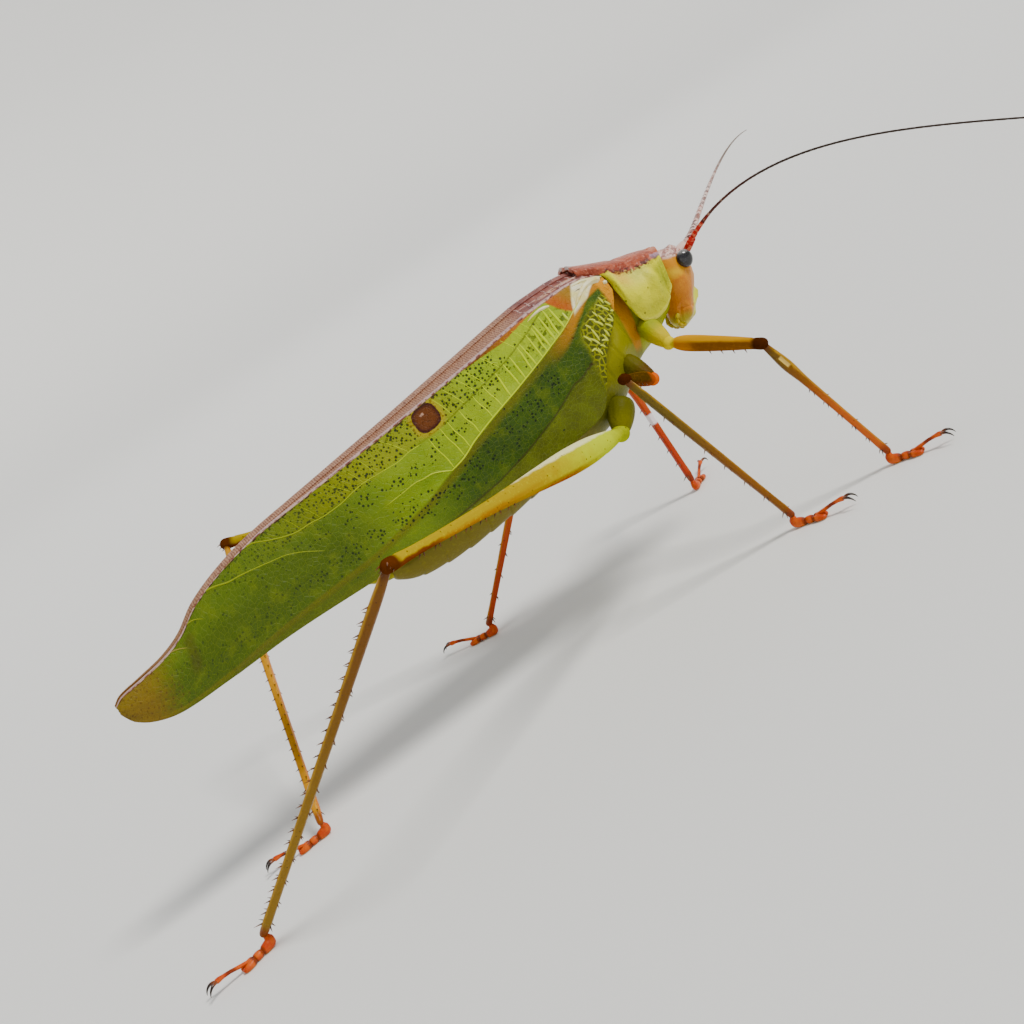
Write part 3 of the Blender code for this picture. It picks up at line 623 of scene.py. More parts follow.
def stand(piece, start, along, up):
    """Turns a piece modelled along +X, with its back to +Z, to lie along a direction from start."""
    along = Vector(along).normalized()
    side = Vector(up).cross(along).normalized()
    back = along.cross(side)
    piece.data.transform(Matrix.Translation(Vector(start))
                         @ Matrix((along, side, back)).transposed().to_4x4())
    piece.data.update()


head_places = [0, 0.08, 0.2, 0.36, 0.6] + [0.9 + 0.29 * i for i in range(23)] + [7.5, 7.68, 7.75]
head_rings = [(down, faired(HEAD_SHIFT, down), faired(HEAD_HALF, down), faired(HEAD_DEPTH, down))
              for down in head_places]
head = refine(draw_out("head_capsule", 36, head_rings), 2)
EYE_DOWN, EYE_SIDE, EYE_FORWARD = 1.38, 1.86, 0.8
eye_ring = [(EYE_DOWN + 0.92 * cos(2 * pi * i / 16), -EYE_SIDE + 0.32,
             EYE_FORWARD + 0.98 * sin(2 * pi * i / 16)) for i in range(17)]


def head_line(*stations):
    return [on_head(down, turn) for down, turn in stations]


press(head, (
    (eye_ring, 0.2, 0.17),
    ([(EYE_DOWN, -EYE_SIDE + 0.3, EYE_FORWARD)], 0.55, -0.2),
    ([(0.35, -0.75, 1.05), (0.8, -0.85, 1.35)], 0.34, 0.42),             # feeler sockets
    ([(0, 0, 0.4), (0.3, 0, 0.95)], 0.3, 0.3),                           # tip of the crown
    (head_line((1.5, 0), (2.4, 0)), 0.5, 0.08),
    (head_line((4.6, 0), (5.2, 0)), 0.42, 0.74),                         # the nose-like boss
    (head_line((5.2, 0), (5.9, 0), (6.6, 0)), 0.4, 0.22),
    (head_line((3, 20), (4, 22), (5, 24)), 0.14, 0.07),
    (head_line((2.1, 36), (2.9, 43), (3.9, 47), (5, 50)), 0.13, -0.03),
    (head_line((3.4, 88), (4.4, 80)), 0.9, 0.14),                        # cheeks
    (head_line((2.6, 70), (4.9, 66)), 0.12, -0.05),
    (head_line((5.6, -42), (5.6, -24), (5.6, 0), (5.6, 24), (5.6, 42)), 0.12, -0.08),
    (head_line((6.35, -40), (6.35, -20), (6.35, 0), (6.35, 20), (6.35, 40)), 0.1, -0.1),
    (head_line((5.65, -28), (5.65, 0), (5.65, 28)), 0.35, 0.12),         # clypeus
    (head_line((6.75, -22), (6.75, 0), (6.75, 22)), 0.45, 0.16),         # upper lip
    (head_line((5.9, 60), (5.9, 80), (5.9, 100), (5.9, 122)), 0.14, -0.08),
    (head_line((6, 80), (6.7, 72)), 0.42, 0.18),                         # jaws
    (head_line((5.6, 112), (6.5, 118), (7.2, 110)), 0.14, -0.06)))
keep_lie(head)
stand(head, HEAD_TOP, HEAD_DOWN, HEAD_FORWARD)

face = Finish("face_cuticle", 0.38, own_lie=True, Coat_Weight=0.15, Coat_Roughness=0.2)
down, across, ahead = face.x, abs(face.y), face.z
cloud = face.place.noise(0.8, 3)
fine = face.place.noise(5, 4)
blotch = face.place.noise(1.8, 2)
orange = (down + cloud * 1.6).rise(1.4, 5.4).mix((206, 142, 14), (190, 122, 6))
orange.lay(fine.rise(0.5, 0.75) * 0.5, 214, 156, 22)
orange.lay(blotch.rise(0.5, 0.66) * 0.35, 176, 98, 12)
under_eye = (down + cloud * 0.6).rise(1.9, 2.7) * (down + blotch * 0.6).rise(3.6, 2.7)
orange.lay(under_eye * ahead.rise(0.8, -0.5) * 0.6, 226, 196, 60)
edge = across.rise(1.15, 0.7) * ahead.rise(0.6, 1.2) * down.rise(1.8, 2.8)
orange.lay(edge * 0.5, 214, 160, 50)
front = across.rise(1.35, 0.9) * ahead.rise(0.4, 0.8) * down.rise(3.9, 4.6)
orange.lay(front * 0.95, 222, 226, 76)
low = (down + cloud * 0.9 + across * 0.1).rise(6.6, 7.7)
orange.lay(low * 0.9, 166, 156, 30)
orange.lay(down.rise(7.2, 7.4) * 0.6, 206, 204, 90)
orange.lay(down.rise(7.55, 7.7) * 0.5, 128, 84, 24)
crown = (down + cloud * 0.5 + blotch * 0.3).rise(1.45, 1.1)
pink = fine.rise(0.3, 0.6).mix((168, 110, 96), (228, 200, 190))
pink.lay(blotch.rise(0.5, 0.6) * 0.7, 128, 74, 70)
pink.lay(ahead.rise(-1.2, -2.1) * 0.6, 190, 108, 82)
pink.lay(across.rise(0.14, 0.05) * 0.6, 110, 50, 44)
skin = crown.mix(orange, pink)
face.wear(skin, fine * 0.2 + 0.24, face.place.cells(7) * 0.5 + fine * 0.3 + blotch * 0.3, 0.03)
settle(head, "face", ["head", "mouthparts"], face)


# ------------------------------------------------------------------ eyes
# Two rounded compound eyes, set into rims at the top of the cheeks: glossy slate horn, made up
# of thousands of six-sided lenses.

EYE_CENTER = HEAD_TOP + HEAD_DOWN * EYE_DOWN + HEAD_FORWARD * EYE_FORWARD
EYE_SIZE = (0.82, 0.66, 0.9)

slate = Finish("eye_lenses", 0.12, own_lie=True, Specular_IOR_Level=0.4, Coat_Weight=0.4,
               Coat_Roughness=0.05)
lens = slate.place.cells(11)
shade = (slate.x - slate.z * 0.3).rise(0.45, -0.5).mix((14, 15, 16), (46, 46, 50))
# painted highlight: pale grey over the top and front of the eye
shade.lay((slate.z + slate.x * 0.2).rise(0.45, 0.8), 150, 148, 146)
shade.lay(lens.rise(0.25, 0.6) * 0.5, 14, 16, 18)
slate.wear(shade, lens * 0.2 + 0.08, 1 - lens, 0.006)


def eye(name, side):
    bpy.ops.object.select_all(action="DESELECT")
    bpy.ops.mesh.primitive_ico_sphere_add(subdivisions=5, radius=1)
    ball = bpy.context.object
    ball.name = f"eye_lenses_{name}"
    places = corners(ball)[0] * np.array(EYE_SIZE)
    places[:, 1] *= np.where(places[:, 1] * side < 0, 0.8, 1)       # flat where it is set in
    places[:, 0] *= 1 + 0.08 * places[:, 2]
    put_corners(ball, places)
    keep_lie(ball)
    ball.data.transform(Matrix.Translation((EYE_CENTER.x, side * EYE_SIDE, EYE_CENTER.z)))
    settle(ball, "eye", [f"eye_{name}"], slate)


SIDES = (("right", -1), ("left", 1))
for name, side in SIDES:
    eye(name, side)


# ------------------------------------------------------------------ palps
# Two jointed feelers on each side under the jaws, thin yellow-green tubes of cuticle with soft
# joints. The long ones grow from the outer jaws and the short ones from the lower lip.

def round_line(name, lines, resolution):
    """A mesh of round rods, closed at both ends: each rod is a list of points with their radii."""
    wire = bpy.data.curves.new(name, "CURVE")
    wire.dimensions = "3D"
    wire.bevel_depth = 1
    wire.bevel_resolution = resolution
    wire.use_fill_caps = True
    for line in lines:
        spline = wire.splines.new("POLY")
        spline.points.add(len(line) - 1)
        for point, (place, radius) in zip(spline.points, line):
            point.co = (*place, 1)
            point.radius = radius
    rods = bpy.data.objects.new(name, wire)
    bpy.context.scene.collection.objects.link(rods)
    pick(rods)
    bpy.ops.object.convert(target="MESH")
    return bpy.context.object


def bent_rod(name, route, radii, resolution=2):
    return round_line(name, [list(zip(route, radii))], resolution)


def join(pieces):
    pick(*pieces)
    bpy.ops.object.join()
    return bpy.context.object


def jointed(route, radius, tip):
    """The route and radii of a limb whose segments run between the points of a route: each is
    slimmer at its ends."""
    places, radii = [], []
    for i, (start, end) in enumerate(zip(route, route[1:])):
        start, end = Vector(start), Vector(end)
        size = radius + (tip - radius) * i / max(len(route) - 2, 1)
        for share, swell in ((0, 0.62), (0.12, 0.9), (0.5, 1), (0.85, 1.12), (0.97, 0.8)):
            places.append(start.lerp(end, share))
            radii.append(size * swell)
    places.append(Vector(route[-1]))
    radii.append(tip * 0.35)
    return places, radii


palp_skin = two_tone("palp_cuticle", 0.4, (3, 3), (0.3, 0.7), (158, 136, 24), (180, 162, 40),
                     0.28, 0.02)
for name, side in SIDES:
    long_palp = [(5.2, side * 1.1, 20.6), (4.78, side * 1.12, 20.2), (4.72, side * 1.05, 19.75),
                 (5, side * 0.92, 19.35), (5.5, side * 0.75, 19.2)]
    short_palp = [(5.1, side * 0.55, 19.6), (4.9, side * 0.6, 19.4), (5, side * 0.6, 19.15),
                  (5.3, side * 0.5, 19.05)]
    palps = bent_rod(f"palps_jointed_{name}", *jointed(long_palp, 0.24, 0.22))
    short = bent_rod("short_palp", *jointed(short_palp, 0.15, 0.15))
    settle(refine(join([palps, short]), 1), "palp", [f"palps_{name}"], palp_skin)


# ------------------------------------------------------------------ feelers
# Each antenna is a stout root joint, a short second joint and a whip of over a hundred rings
# that thins to a hair. The cuticle is red near the head and dark beyond. The left one is painted
# pale whitish pink, a painted sheen of light over the same cuticle.

FEELER_ROOT = Vector((9.75, 0.95, 25.35))
FEELER_SWEEP = {"right": ((37.7, 41), (-31.8, 65.5)), "left": ((7.4, 10), (1.5, 52.3))}
FEELER_BEND = {"right": 0.207, "left": 0.023}
FEELER_DROOP = {"right": -24.6, "left": 8.5}
FEELER_LENGTH = 70
FEELER_STEPS = 60
FEELER_RADIUS = {
    "right": ((0, 0.28), (0.035, 0.25), (0.06, 0.16), (0.2, 0.115), (0.5, 0.09), (1, 0.05)),
    "left": ((0, 0.32), (0.1, 0.3), (0.2, 0.26), (0.4, 0.18), (0.7, 0.11), (1, 0.05))}
SCAPE_LENGTH = 1.1
# the two root joints, as how far from the socket in mm, and the radius there
SCAPE = ((-0.75, 0.26), (-0.45, 0.4), (0.2, 0.42), (SCAPE_LENGTH - 0.15, 0.38), (SCAPE_LENGTH, 0.24),
         (SCAPE_LENGTH + 0.1, 0.3), (SCAPE_LENGTH + 0.45, 0.31), (SCAPE_LENGTH + 0.6, 0.2))
FIRST_RING, RING_GROWTH, LONGEST_RING = 0.3, 1.022, 1.1


def feeler_path(name, side):
    """The feeler's line from its root, in even steps: it leaves the head and levels out."""
    (pitch_root, yaw_root), (pitch_tip, yaw_tip) = FEELER_SWEEP[name]
    step = FEELER_LENGTH / FEELER_STEPS
    point = FEELER_ROOT * Vector((1, side, 1))
    path = [point.copy()]
    for i in range(FEELER_STEPS):
        share = (i + 0.5) / FEELER_STEPS
        settled = 1 - exp(-share / FEELER_BEND[name])
        droop = FEELER_DROOP[name] * share ** 2
        pitch = radians(pitch_root + (pitch_tip - pitch_root) * settled - droop)
        yaw = radians(yaw_root + (yaw_tip - yaw_root) * settled) * side
        point = point + Vector((cos(pitch) * cos(yaw), cos(pitch) * sin(yaw), sin(pitch))) * step
        path.append(point.copy())
    return path


def along_path(path, share):
    place = share * (len(path) - 1)
    i = min(int(place), len(path) - 2)
    return path[i].lerp(path[i + 1], place - i)


def feeler(name, side):
    path = feeler_path(name, side)
    along = (path[1] - path[0]).normalized()
    route = [path[0] + along * reach for reach, _ in SCAPE]
    radii = [radius for _, radius in SCAPE]
    reach = SCAPE_LENGTH + 0.68
    ring = FIRST_RING
    while reach + ring < FEELER_LENGTH:
        radius = faired(FEELER_RADIUS[name], reach / FEELER_LENGTH)
        for share, swell in ((0, 0.86), (0.25, 1), (0.75, 1), (0.98, 0.9)):
            route.append(along_path(path, (reach + ring * share) / FEELER_LENGTH))
            radii.append(radius * swell)
        reach += ring
        ring = min(ring * RING_GROWTH, LONGEST_RING)
    route.append(path[-1])
    radii.append(0.03)
    whip = bent_rod(f"feeler_{name}", route, radii, resolution=1)
    places = corners(whip)[0]
    steps = np.array([tuple(p) for p in path])
    nearest = np.array([np.argmin(np.linalg.norm(steps - p, axis=1)) for p in places])
    share = nearest / FEELER_STEPS
    keep_lie(whip, np.stack([share * FEELER_LENGTH, places[:, 1], places[:, 2]], axis=1))
    return whip


for name, side in SIDES:
    whip = feeler(name, side)
    nodes = [f"antenna_{name}_scape"] + [f"antenna_{name}_{i}" for i in (1, 2, 3)]
    horn = Finish(f"feeler_cuticle_{name}", 0.38, own_lie=True)
    reach = horn.x
    blotch = horn.place.noise(0.9, 2)
    rings = horn.place.noise(2.4, 1)
    if name == "right":
        tint = (rings.rise(0.52, 0.62) * 0.8).mix((176, 44, 24), (214, 128, 96))
        tint.lay((reach + blotch * 1.5).rise(3, 4.6), 74, 36, 30)
        tint.lay(rings.rise(0.6, 0.7) * 0.5, 170, 140, 120)
        tint.lay(reach.rise(5, 12), 52, 40, 34)
    else:
        # painted sheen: pale whitish pink in place of the red cuticle, with dark rings and a darker tip
        tint = rings.rise(0.44, 0.56).mix((230, 208, 200), (92, 60, 58))
        tint.lay(blotch.rise(0.45, 0.6) * 0.5, 206, 150, 136)
        tint.lay(reach.rise(24, 44), 104, 84, 72)
        tint.lay(reach.rise(1.6, 0.6), 226, 196, 184)
    horn.wear(tint, blotch * 0.2 + 0.3, rings, 0.02)
    settle(whip, "feeler", nodes, horn)


# ------------------------------------------------------------------ fore wings
# Two leathery tegmina, hinged behind the saddle and folded like a roof: a thin double sheet of
# cuticle stretched between raised veins, leaf-green down the flank and pinkish brown on the back.

WING_TIP = -59
WING_ROOT = -0.35
WING_FOLD_Z = ((-59, 21), (-58.2, 21.5), (-56, 21.8), (-53.3, 22.2), (-51, 23),
               (-48.5, 24.5), (-45, 25.7), (-41, 26.45), (-34, 27), (-26, 27.6),
               (-17, 28.4), (-9, 29.2), (-6, 29.25), (-4, 29.2), (-2.2, 28.9),
               (-0.35, 28))
WING_EDGE_Z = ((-59, 20.5), (-58.4, 19.3), (-56.8, 18.2), (-54.5, 17.6), (-50, 17.6),
               (-43, 17.8), (-34, 17.5), (-24, 17.1), (-14, 17.2), (-10, 17.4),
               (-7.8, 18), (-6.3, 19.8), (-5.2, 21.5), (-3.9, 22.9), (-2.3, 24.1), (-1.1, 25.5),
               (-0.35, 26.5))
WING_FOLD_Y = ((-59, 0.35), (-50, 0.5), (-40, 0.95), (-28, 1.9), (-16, 2.7),
               (-8, 2.95), (-3, 2.75), (-0.35, 2.4))
WING_EDGE_Y = ((-59, 0.4), (-54, 1.1), (-44, 2.4), (-32, 3.6), (-20, 4.3), (-9, 4.55),
               (-4, 4.2), (-0.35, 3.2))
WING_CAMBER = 0.75
ROOF_RISE = 0.30
WING_OUTSIDE = 0.24                  # from the middle of the solid wall to its face
WING_WALL = 0.2
ROOF_LAP = 0.9                       # how far the left wing's back lies over the right one's
# the long veins, as stations of x and the share of the flank's height down from the fold
RADIAL_VEIN = ((-49, 0.9), (-45, 0.865), (-41, 0.84), (-37, 0.81), (-33, 0.775),
               (-29, 0.72), (-26.5, 0.66), (-24.5, 0.61), (-23.1, 0.572), (-21.5, 0.545),
               (-20, 0.495), (-18, 0.45), (-16, 0.415), (-14, 0.385), (-12, 0.352),
               (-10, 0.32), (-8, 0.288), (-6, 0.285), (-4.4, 0.27), (-3.2, 0.2))
MIDDLE_VEIN = ((-49, 0.66), (-45, 0.6), (-41, 0.555), (-37.2, 0.545), (-36.5, 0.5),
               (-33, 0.495), (-29.8, 0.487), (-28, 0.48), (-26.5, 0.472), (-25.7, 0.487),
               (-24.6, 0.5), (-23.1, 0.572))
UPPER_VEIN = ((-42, 0), (-41.2, 0.03), (-40, 0.105), (-38.5, 0.175), (-37.5, 0.205),
              (-36, 0.215), (-35, 0.235), (-33, 0.24), (-31.5, 0.222), (-30.2, 0.215),
              (-28, 0.236), (-26.5, 0.25), (-25.2, 0.238), (-24, 0.25), (-21.5, 0.24),
              (-19, 0.22), (-17, 0.2), (-15, 0.185), (-13, 0.165), (-11.5, 0.14),
              (-10, 0.11), (-8.2, 0.07), (-7, 0.03))
BRANCH_VEIN = ((-47, 0), (-46, 0.065), (-45, 0.135), (-44, 0.17), (-43.2, 0.2),
               (-42.2, 0.235), (-41.2, 0.27), (-39, 0.34), (-36.5, 0.5))
FOLD_LINE = ((-26, 0.935), (-24, 0.92), (-20, 0.885), (-18, 0.86), (-16, 0.82),
             (-14, 0.78), (-12, 0.73), (-10, 0.665), (-9, 0.645), (-8, 0.64),
             (-7.2, 0.67), (-6.5, 0.71), (-5.5, 0.8), (-4.5, 0.92), (-3.9, 1))


def roof_point(x, share, side):
    """The wing's mid surface. The share is 0 at the fold, 1 at the lower edge and -1 at the
    body's mid line."""
    fold_y, fold_z = faired(WING_FOLD_Y, x), faired(WING_FOLD_Z, x)
    if share < 0:
        lap = (ROOF_LAP if side > 0 else -0.15) * min(1, (x - WING_TIP) / 14)
        y = fold_y + (fold_y + lap) * share
        return Vector((x, side * y, fold_z + (fold_y - abs(y)) * ROOF_RISE
                       + (0.03 if side > 0 else -0.08) * min(1, -share * 2)))
    edge_y, edge_z = faired(WING_EDGE_Y, x), faired(WING_EDGE_Z, x)
    camber = WING_CAMBER * min(1, (fold_z - edge_z) / 9)
    return Vector((x, side * (fold_y + (edge_y - fold_y) * share + camber * sin(pi * share)),
                   fold_z + (edge_z - fold_z) * share))


def wing_point(x, share, side, lift=0):
    """A point on the wing, lifted outwards off its mid surface. The fold is rounded a little."""
    near, far = 0.018, 0.05
    middle = (roof_point(x, share - near, side) + roof_point(x, share + near, side)) / 2
    if not lift:
        return middle
    down = roof_point(x, min(share + far, 1), side) - roof_point(x, share - far, side)
    along = roof_point(x + 0.2, share, side) - roof_point(x - 0.2, share, side)
    out = along.cross(down).normalized() * side
    if out.z < 0 and share < 0.2 or out.y * side < 0 and share > 0.2:
        out.negate()
    return middle + out * lift


def flank_height(x):
    return max(faired(WING_FOLD_Z, x) - faired(WING_EDGE_Z, x), 0.4)


def wing_relief(x, share):
    """How far the surface stands out: ridges under the long veins, grooves and soft waves."""
    tall = flank_height(x)

    def near(stations, width):
        if not stations[0][0] <= x <= stations[-1][0]:
            return 0
        return exp(-((share - faired(stations, x)) * tall / width) ** 2)

    lift = 0.15 * near(RADIAL_VEIN, 0.42) - 0.07 * near(FOLD_LINE, 0.2)
    lift += 0.06 * near(MIDDLE_VEIN, 0.35) - 0.03 * near(UPPER_VEIN, 0.2)
    lift += 0.05 * near(BRANCH_VEIN, 0.3)
    if share > 0:
        lift += 0.07 * sin(x * 0.42 + share * 3) * sin(pi * share) * min(1, -x / 12)
        lift += 0.035 * sin(x * 1.7 + 9 * share) * sin(2.3 * x - 14 * share) * sin(pi * share)
    return lift


def across_wing(x, share):
    """Millimetres down the flank from the fold, or below 0 towards the mid line."""
    if share < 0:
        return share * faired(WING_FOLD_Y, x) * 1.05
    return share * flank_height(x)


BACK_ROWS, FLANK_ROWS, WING_COLUMNS = 14, 62, 300
WING_ROWS = BACK_ROWS + FLANK_ROWS


def wing_place(u, v):
    """The x and the share of a place on the wing's grid."""
    turn = BACK_ROWS / WING_ROWS
    share = v / turn - 1 if v < turn else (v - turn) / (1 - turn)
    return WING_TIP + (WING_ROOT - WING_TIP) * u, share


def wing_sheet(name, side):
    def point(u, v):
        x, share = wing_place(u, v)
        return wing_point(x, share, side, WING_OUTSIDE - WING_WALL / 2 + wing_relief(x, share))

    sheet = fitted_grid(name, WING_COLUMNS, WING_ROWS, point)
    lie = []
    for j in range(WING_ROWS + 1):
        for i in range(WING_COLUMNS + 1):
            x, share = wing_place(i / WING_COLUMNS, j / WING_ROWS)
            lie.append((x, across_wing(x, share), share))
    keep_lie(sheet, lie)
    if side < 0:
        bpy.ops.object.mode_set(mode="EDIT")
        bpy.ops.mesh.select_all(action="SELECT")
        bpy.ops.mesh.flip_normals()
        bpy.ops.object.mode_set(mode="OBJECT")
    give_wall(sheet, WING_WALL)
    return sheet


VEIN_STEP = 0.45                     # how far apart a vein's points lie
VEIN_SINK = 0.02                     # how deep a vein's middle lies under the surface
FLANK_USUAL = 10                     # the flank's usual height, to judge a vein's length


def vein_line(side, stations, start_radius, end_radius):
    """The points and radii of one raised vein, from its stations of x and share."""
    length = abs(stations[0][0] - stations[-1][0])
    length += FLANK_USUAL * abs(stations[0][1] - stations[-1][1])
    count = max(4, int(length / VEIN_STEP))
    spread = [(n, share) for n, (_, share) in enumerate(stations)]
    line = []
    for i in range(count + 1):
        place = i / count * (len(stations) - 1)
        k = min(int(place), len(stations) - 2)
        x = stations[k][0] + (stations[k + 1][0] - stations[k][0]) * (place - k)
        share = faired(spread, place)
        taper = sin(pi * min(i + 0.6, count - i + 0.6, 2) / 4)
        line.append((wing_point(x, share, side, WING_OUTSIDE + wing_relief(x, share) - VEIN_SINK),
                     (start_radius + (end_radius - start_radius) * i / count) * taper))
    return line


def vein_net(name, side, veins):
    return round_line(name, [vein_line(side, *vein) for vein in veins], resolution=1)


# where the comb's teeth leave the radial vein, and both ends of the cross veins above it
COMB = (-6, -6.7, -7.5, -8.1, -8.9, -9.4, -10.1, -11, -11.6, -12.6, -13.4, -14.7, -15.9,
        -17.2, -19, -20.5, -21.4, -22.8)
SLANTS = ((-9.4, -10), (-10.4, -11.1), (-11.6, -12.5), (-13.9, -15), (-15.9, -16.9),
          (-17, -18), (-18.5, -19.5), (-20, -20.8), (-25.3, -27), (-28.8, -29.5),
          (-30.2, -31.1), (-31.5, -33.4), (-35.1, -36.2), (-37.1, -38), (-43.6, -44.6))
# the short veins of the ladder behind the hinge: x, share, and length in shares
LADDER = ((-5.7, 0.52, 0.14), (-5.35, 0.62, 0.2), (-4.95, 0.5, 0.1), (-4.7, 0.6, 0.2),
          (-4.3, 0.52, 0.1), (-4, 0.6, 0.18), (-3.6, 0.5, 0.12), (-3.3, 0.62, 0.16),
          (-2.9, 0.48, 0.16), (-2.5, 0.6, 0.18), (-2.2, 0.44, 0.16), (-1.9, 0.6, 0.2),
          (-5.9, 0.68, 0.09), (-5.5, 0.74, 0.11), (-5.15, 0.79, 0.12), (-4.8, 0.83, 0.12),
          (-4.4, 0.84, 0.13), (-4, 0.82, 0.16), (-3.6, 0.82, 0.16), (-3.2, 0.8, 0.18),
          (-2.75, 0.8, 0.17), (-2.3, 0.8, 0.17), (-1.9, 0.84, 0.12))


def pale_veins():
    """The long veins and cross veins that stand out on the flank."""
    veins = [(RADIAL_VEIN[8:], 0.085, 0.06), (MIDDLE_VEIN[6:], 0.04, 0.075),
             (UPPER_VEIN[:14], 0.09, 0.045), (BRANCH_VEIN, 0.1, 0.04)]
    for i, x in enumerate(COMB):
        low = faired(RADIAL_VEIN, x)
        lean = 0.35 if x < -15 else 0.12 * sin(i * 2.1)
        high = faired(UPPER_VEIN, x - lean) if x < -7 else (x + 7.1) / 5.9
        size = 0.08 if x < -15 else 0.13 if x < -9 else 0.17
        tooth = ((x, low), (x - lean * 0.1, (low * 2 + high) / 3),
                 (x - lean * 0.9, (low + high * 2) / 3), (x - lean, high))
        veins.append((tooth, size, size * 0.7))
    for low_x, high_x in SLANTS:
        low = faired(UPPER_VEIN, low_x)
        slant = ((low_x, low), (low_x * 0.55 + high_x * 0.45, low * 0.5), (high_x, 0))
        veins.append((slant, 0.045, 0.035))
    for x in (-52.6, -50):
        veins.append((((x, 0), (x + 0.7, 0.07), (x + 1.5, 0.19)), 0.08, 0.04))
    for i, (x, share, length) in enumerate(LADDER):
        lean = 0.35 + 0.25 * sin(i * 1.7)
        rung = ((x, share), (x + lean * 0.6, share + length * 0.5), (x + lean, share + length))
        veins.append((rung, 0.085 + 0.02 * sin(i * 2.9), 0.12))
    return veins


# the swollen cream-white roots of the long veins at the hinge
ROOT_VEINS = ((((-4.6, 0.27), (-3.8, 0.22), (-2.8, 0.15), (-1.7, 0.1), (-0.8, 0.1)), 0.12, 0.42),
              (((-9.2, 0.045), (-8.5, 0.035), (-7.8, 0.03), (-7.2, 0.035), (-6.6, 0.055)), 0.06, 0.21),
              (((-3.6, 0.04), (-2.6, 0.03), (-1.6, 0.06)), 0.1, 0.26),
              (((-0.75, 0.3), (-0.5, 0.36), (-0.45, 0.46)), 0.26, 0.2))


def back_veins():
    """The ridge along the fold and the file-and-mirror veins on the wing's flat back."""
    ridge = tuple((x, -0.01) for x in (-58, -50, -40, -30, -20, -10, -6, -1))
    veins = [(ridge, 0.05, 0.12), (((-9, -0.55), (-6, -0.35), (-3.6, -0.25), (-1.6, -0.4)), 0.05, 0.13)]
    for i in range(9):
        x = -1.2 - 0.7 * i - 0.03 * i * i
        across_back = ((x, -0.05), (x - 0.25, -0.3), (x - 0.1, -0.62), (x - 0.4, -0.9))
        veins.append((across_back, 0.08 + 0.03 * sin(i * 1.9), 0.05))
    return veins


leaf = Finish("tegmen_leather", 0.42, own_lie=True)
x, across, share = leaf.x, leaf.y, leaf.z
flat = leaf.place.node("CombineXYZ", {}, {0: x, 1: across})


def course(stations):
    """The share at which a line of stations runs at each x, as a ramp over the wing's length."""
    first, last = stations[0][0], stations[-1][0]
    ramp = x.node("ValToRGB", {}, {0: (x - first) / (last - first)})
    stops = ramp.socket.node.color_ramp.elements
    for station_x, _ in stations[1:-1]:
        stops.new((station_x - first) / (last - first))
    for stop, (_, level) in zip(stops, stations):
        stop.color = (level, level, level, 1)
    return ramp


def every_second(stations):
    """Fewer stations, since a ramp holds 32 at the most."""
    return stations[::2] + (stations[-1:] if len(stations) % 2 == 0 else ())


def along(line, width, core=0.3):
    """1 on a course and 0 beside it, from that width in shares."""
    return abs(share - line).rise(width, width * core)


radial = course(every_second(RADIAL_VEIN))
fold_line = course(every_second(FOLD_LINE))
upper_line = course(every_second(UPPER_VEIN))
middle_belt = course(((-46, 0.33), (-30, 0.36), (-24, 0.38), (-20, 0.35), (-16, 0.29),
                      (-11, 0.23), (-7, 0.17)))
low_belt = course(((-46, 0.68), (-30, 0.66), (-23, 0.7), (-18, 0.62), (-12, 0.52),
                   (-8, 0.48)))
cloud = flat.noise(0.22, 3)
patch = flat.noise(0.7, 3)
fine = flat.noise(3, 4)
net = flat.cells(2.1, "DISTANCE_TO_EDGE", flat="2D")
small_net = flat.cells(4.6, "DISTANCE_TO_EDGE", flat="2D")
mottle = (cloud + fine * 0.25).rise(0.35, 0.8)
below = (share - radial).rise(-0.01, 0.02)
near_root = x.rise(-26, -10)
upper = mottle.mix((108, 132, 14), (132, 152, 28))
upper.lay(near_root, mottle.mix((136, 160, 16), (162, 182, 36)))
# the field below the radial vein and the far part of the wing are darker green: partly their own colour,
# partly painted shade
lower = mottle.mix((44, 64, 2), (56, 78, 3))
flank = (below * x.rise(-32, -22)).mix(upper, lower)
distal = x.rise(-24, -36)
distal_tone_with_shade = (share + cloud * 0.4 - 0.2).rise(0.1, 0.5).mix((78, 96, 11), (60, 76, 5))
flank.lay(distal * 0.9, distal_tone_with_shade)
flank.lay(patch.rise(0.5, 0.7) * 0.2, 132, 140, 30)
warm_strip = share.rise(0.26, 0.2) * x.rise(-17, -21) * x.rise(-44, -30)
flank.lay(warm_strip * 0.5, 142, 138, 36)
under_vein = (share - radial).rise(0.1, 0.03) * below
flank.lay(under_vein * 0.7, 104, 100, 8)
flank.lay(share.rise(0.84, 1) * 0.5, 96, 98, 8)
past_fold = (share - fold_line).rise(-0.01, 0.03) * x.rise(-27, -22)
olive = patch.rise(0.3, 0.7).mix((84, 86, 4), (98, 104, 8))
flank.lay(past_fold * 0.8, olive)
flank.lay(net.rise(0.06, 0.01) * 0.16, 166, 182, 70)
flank.lay(small_net.rise(0.06, 0.01) * 0.14, 150, 170, 60)
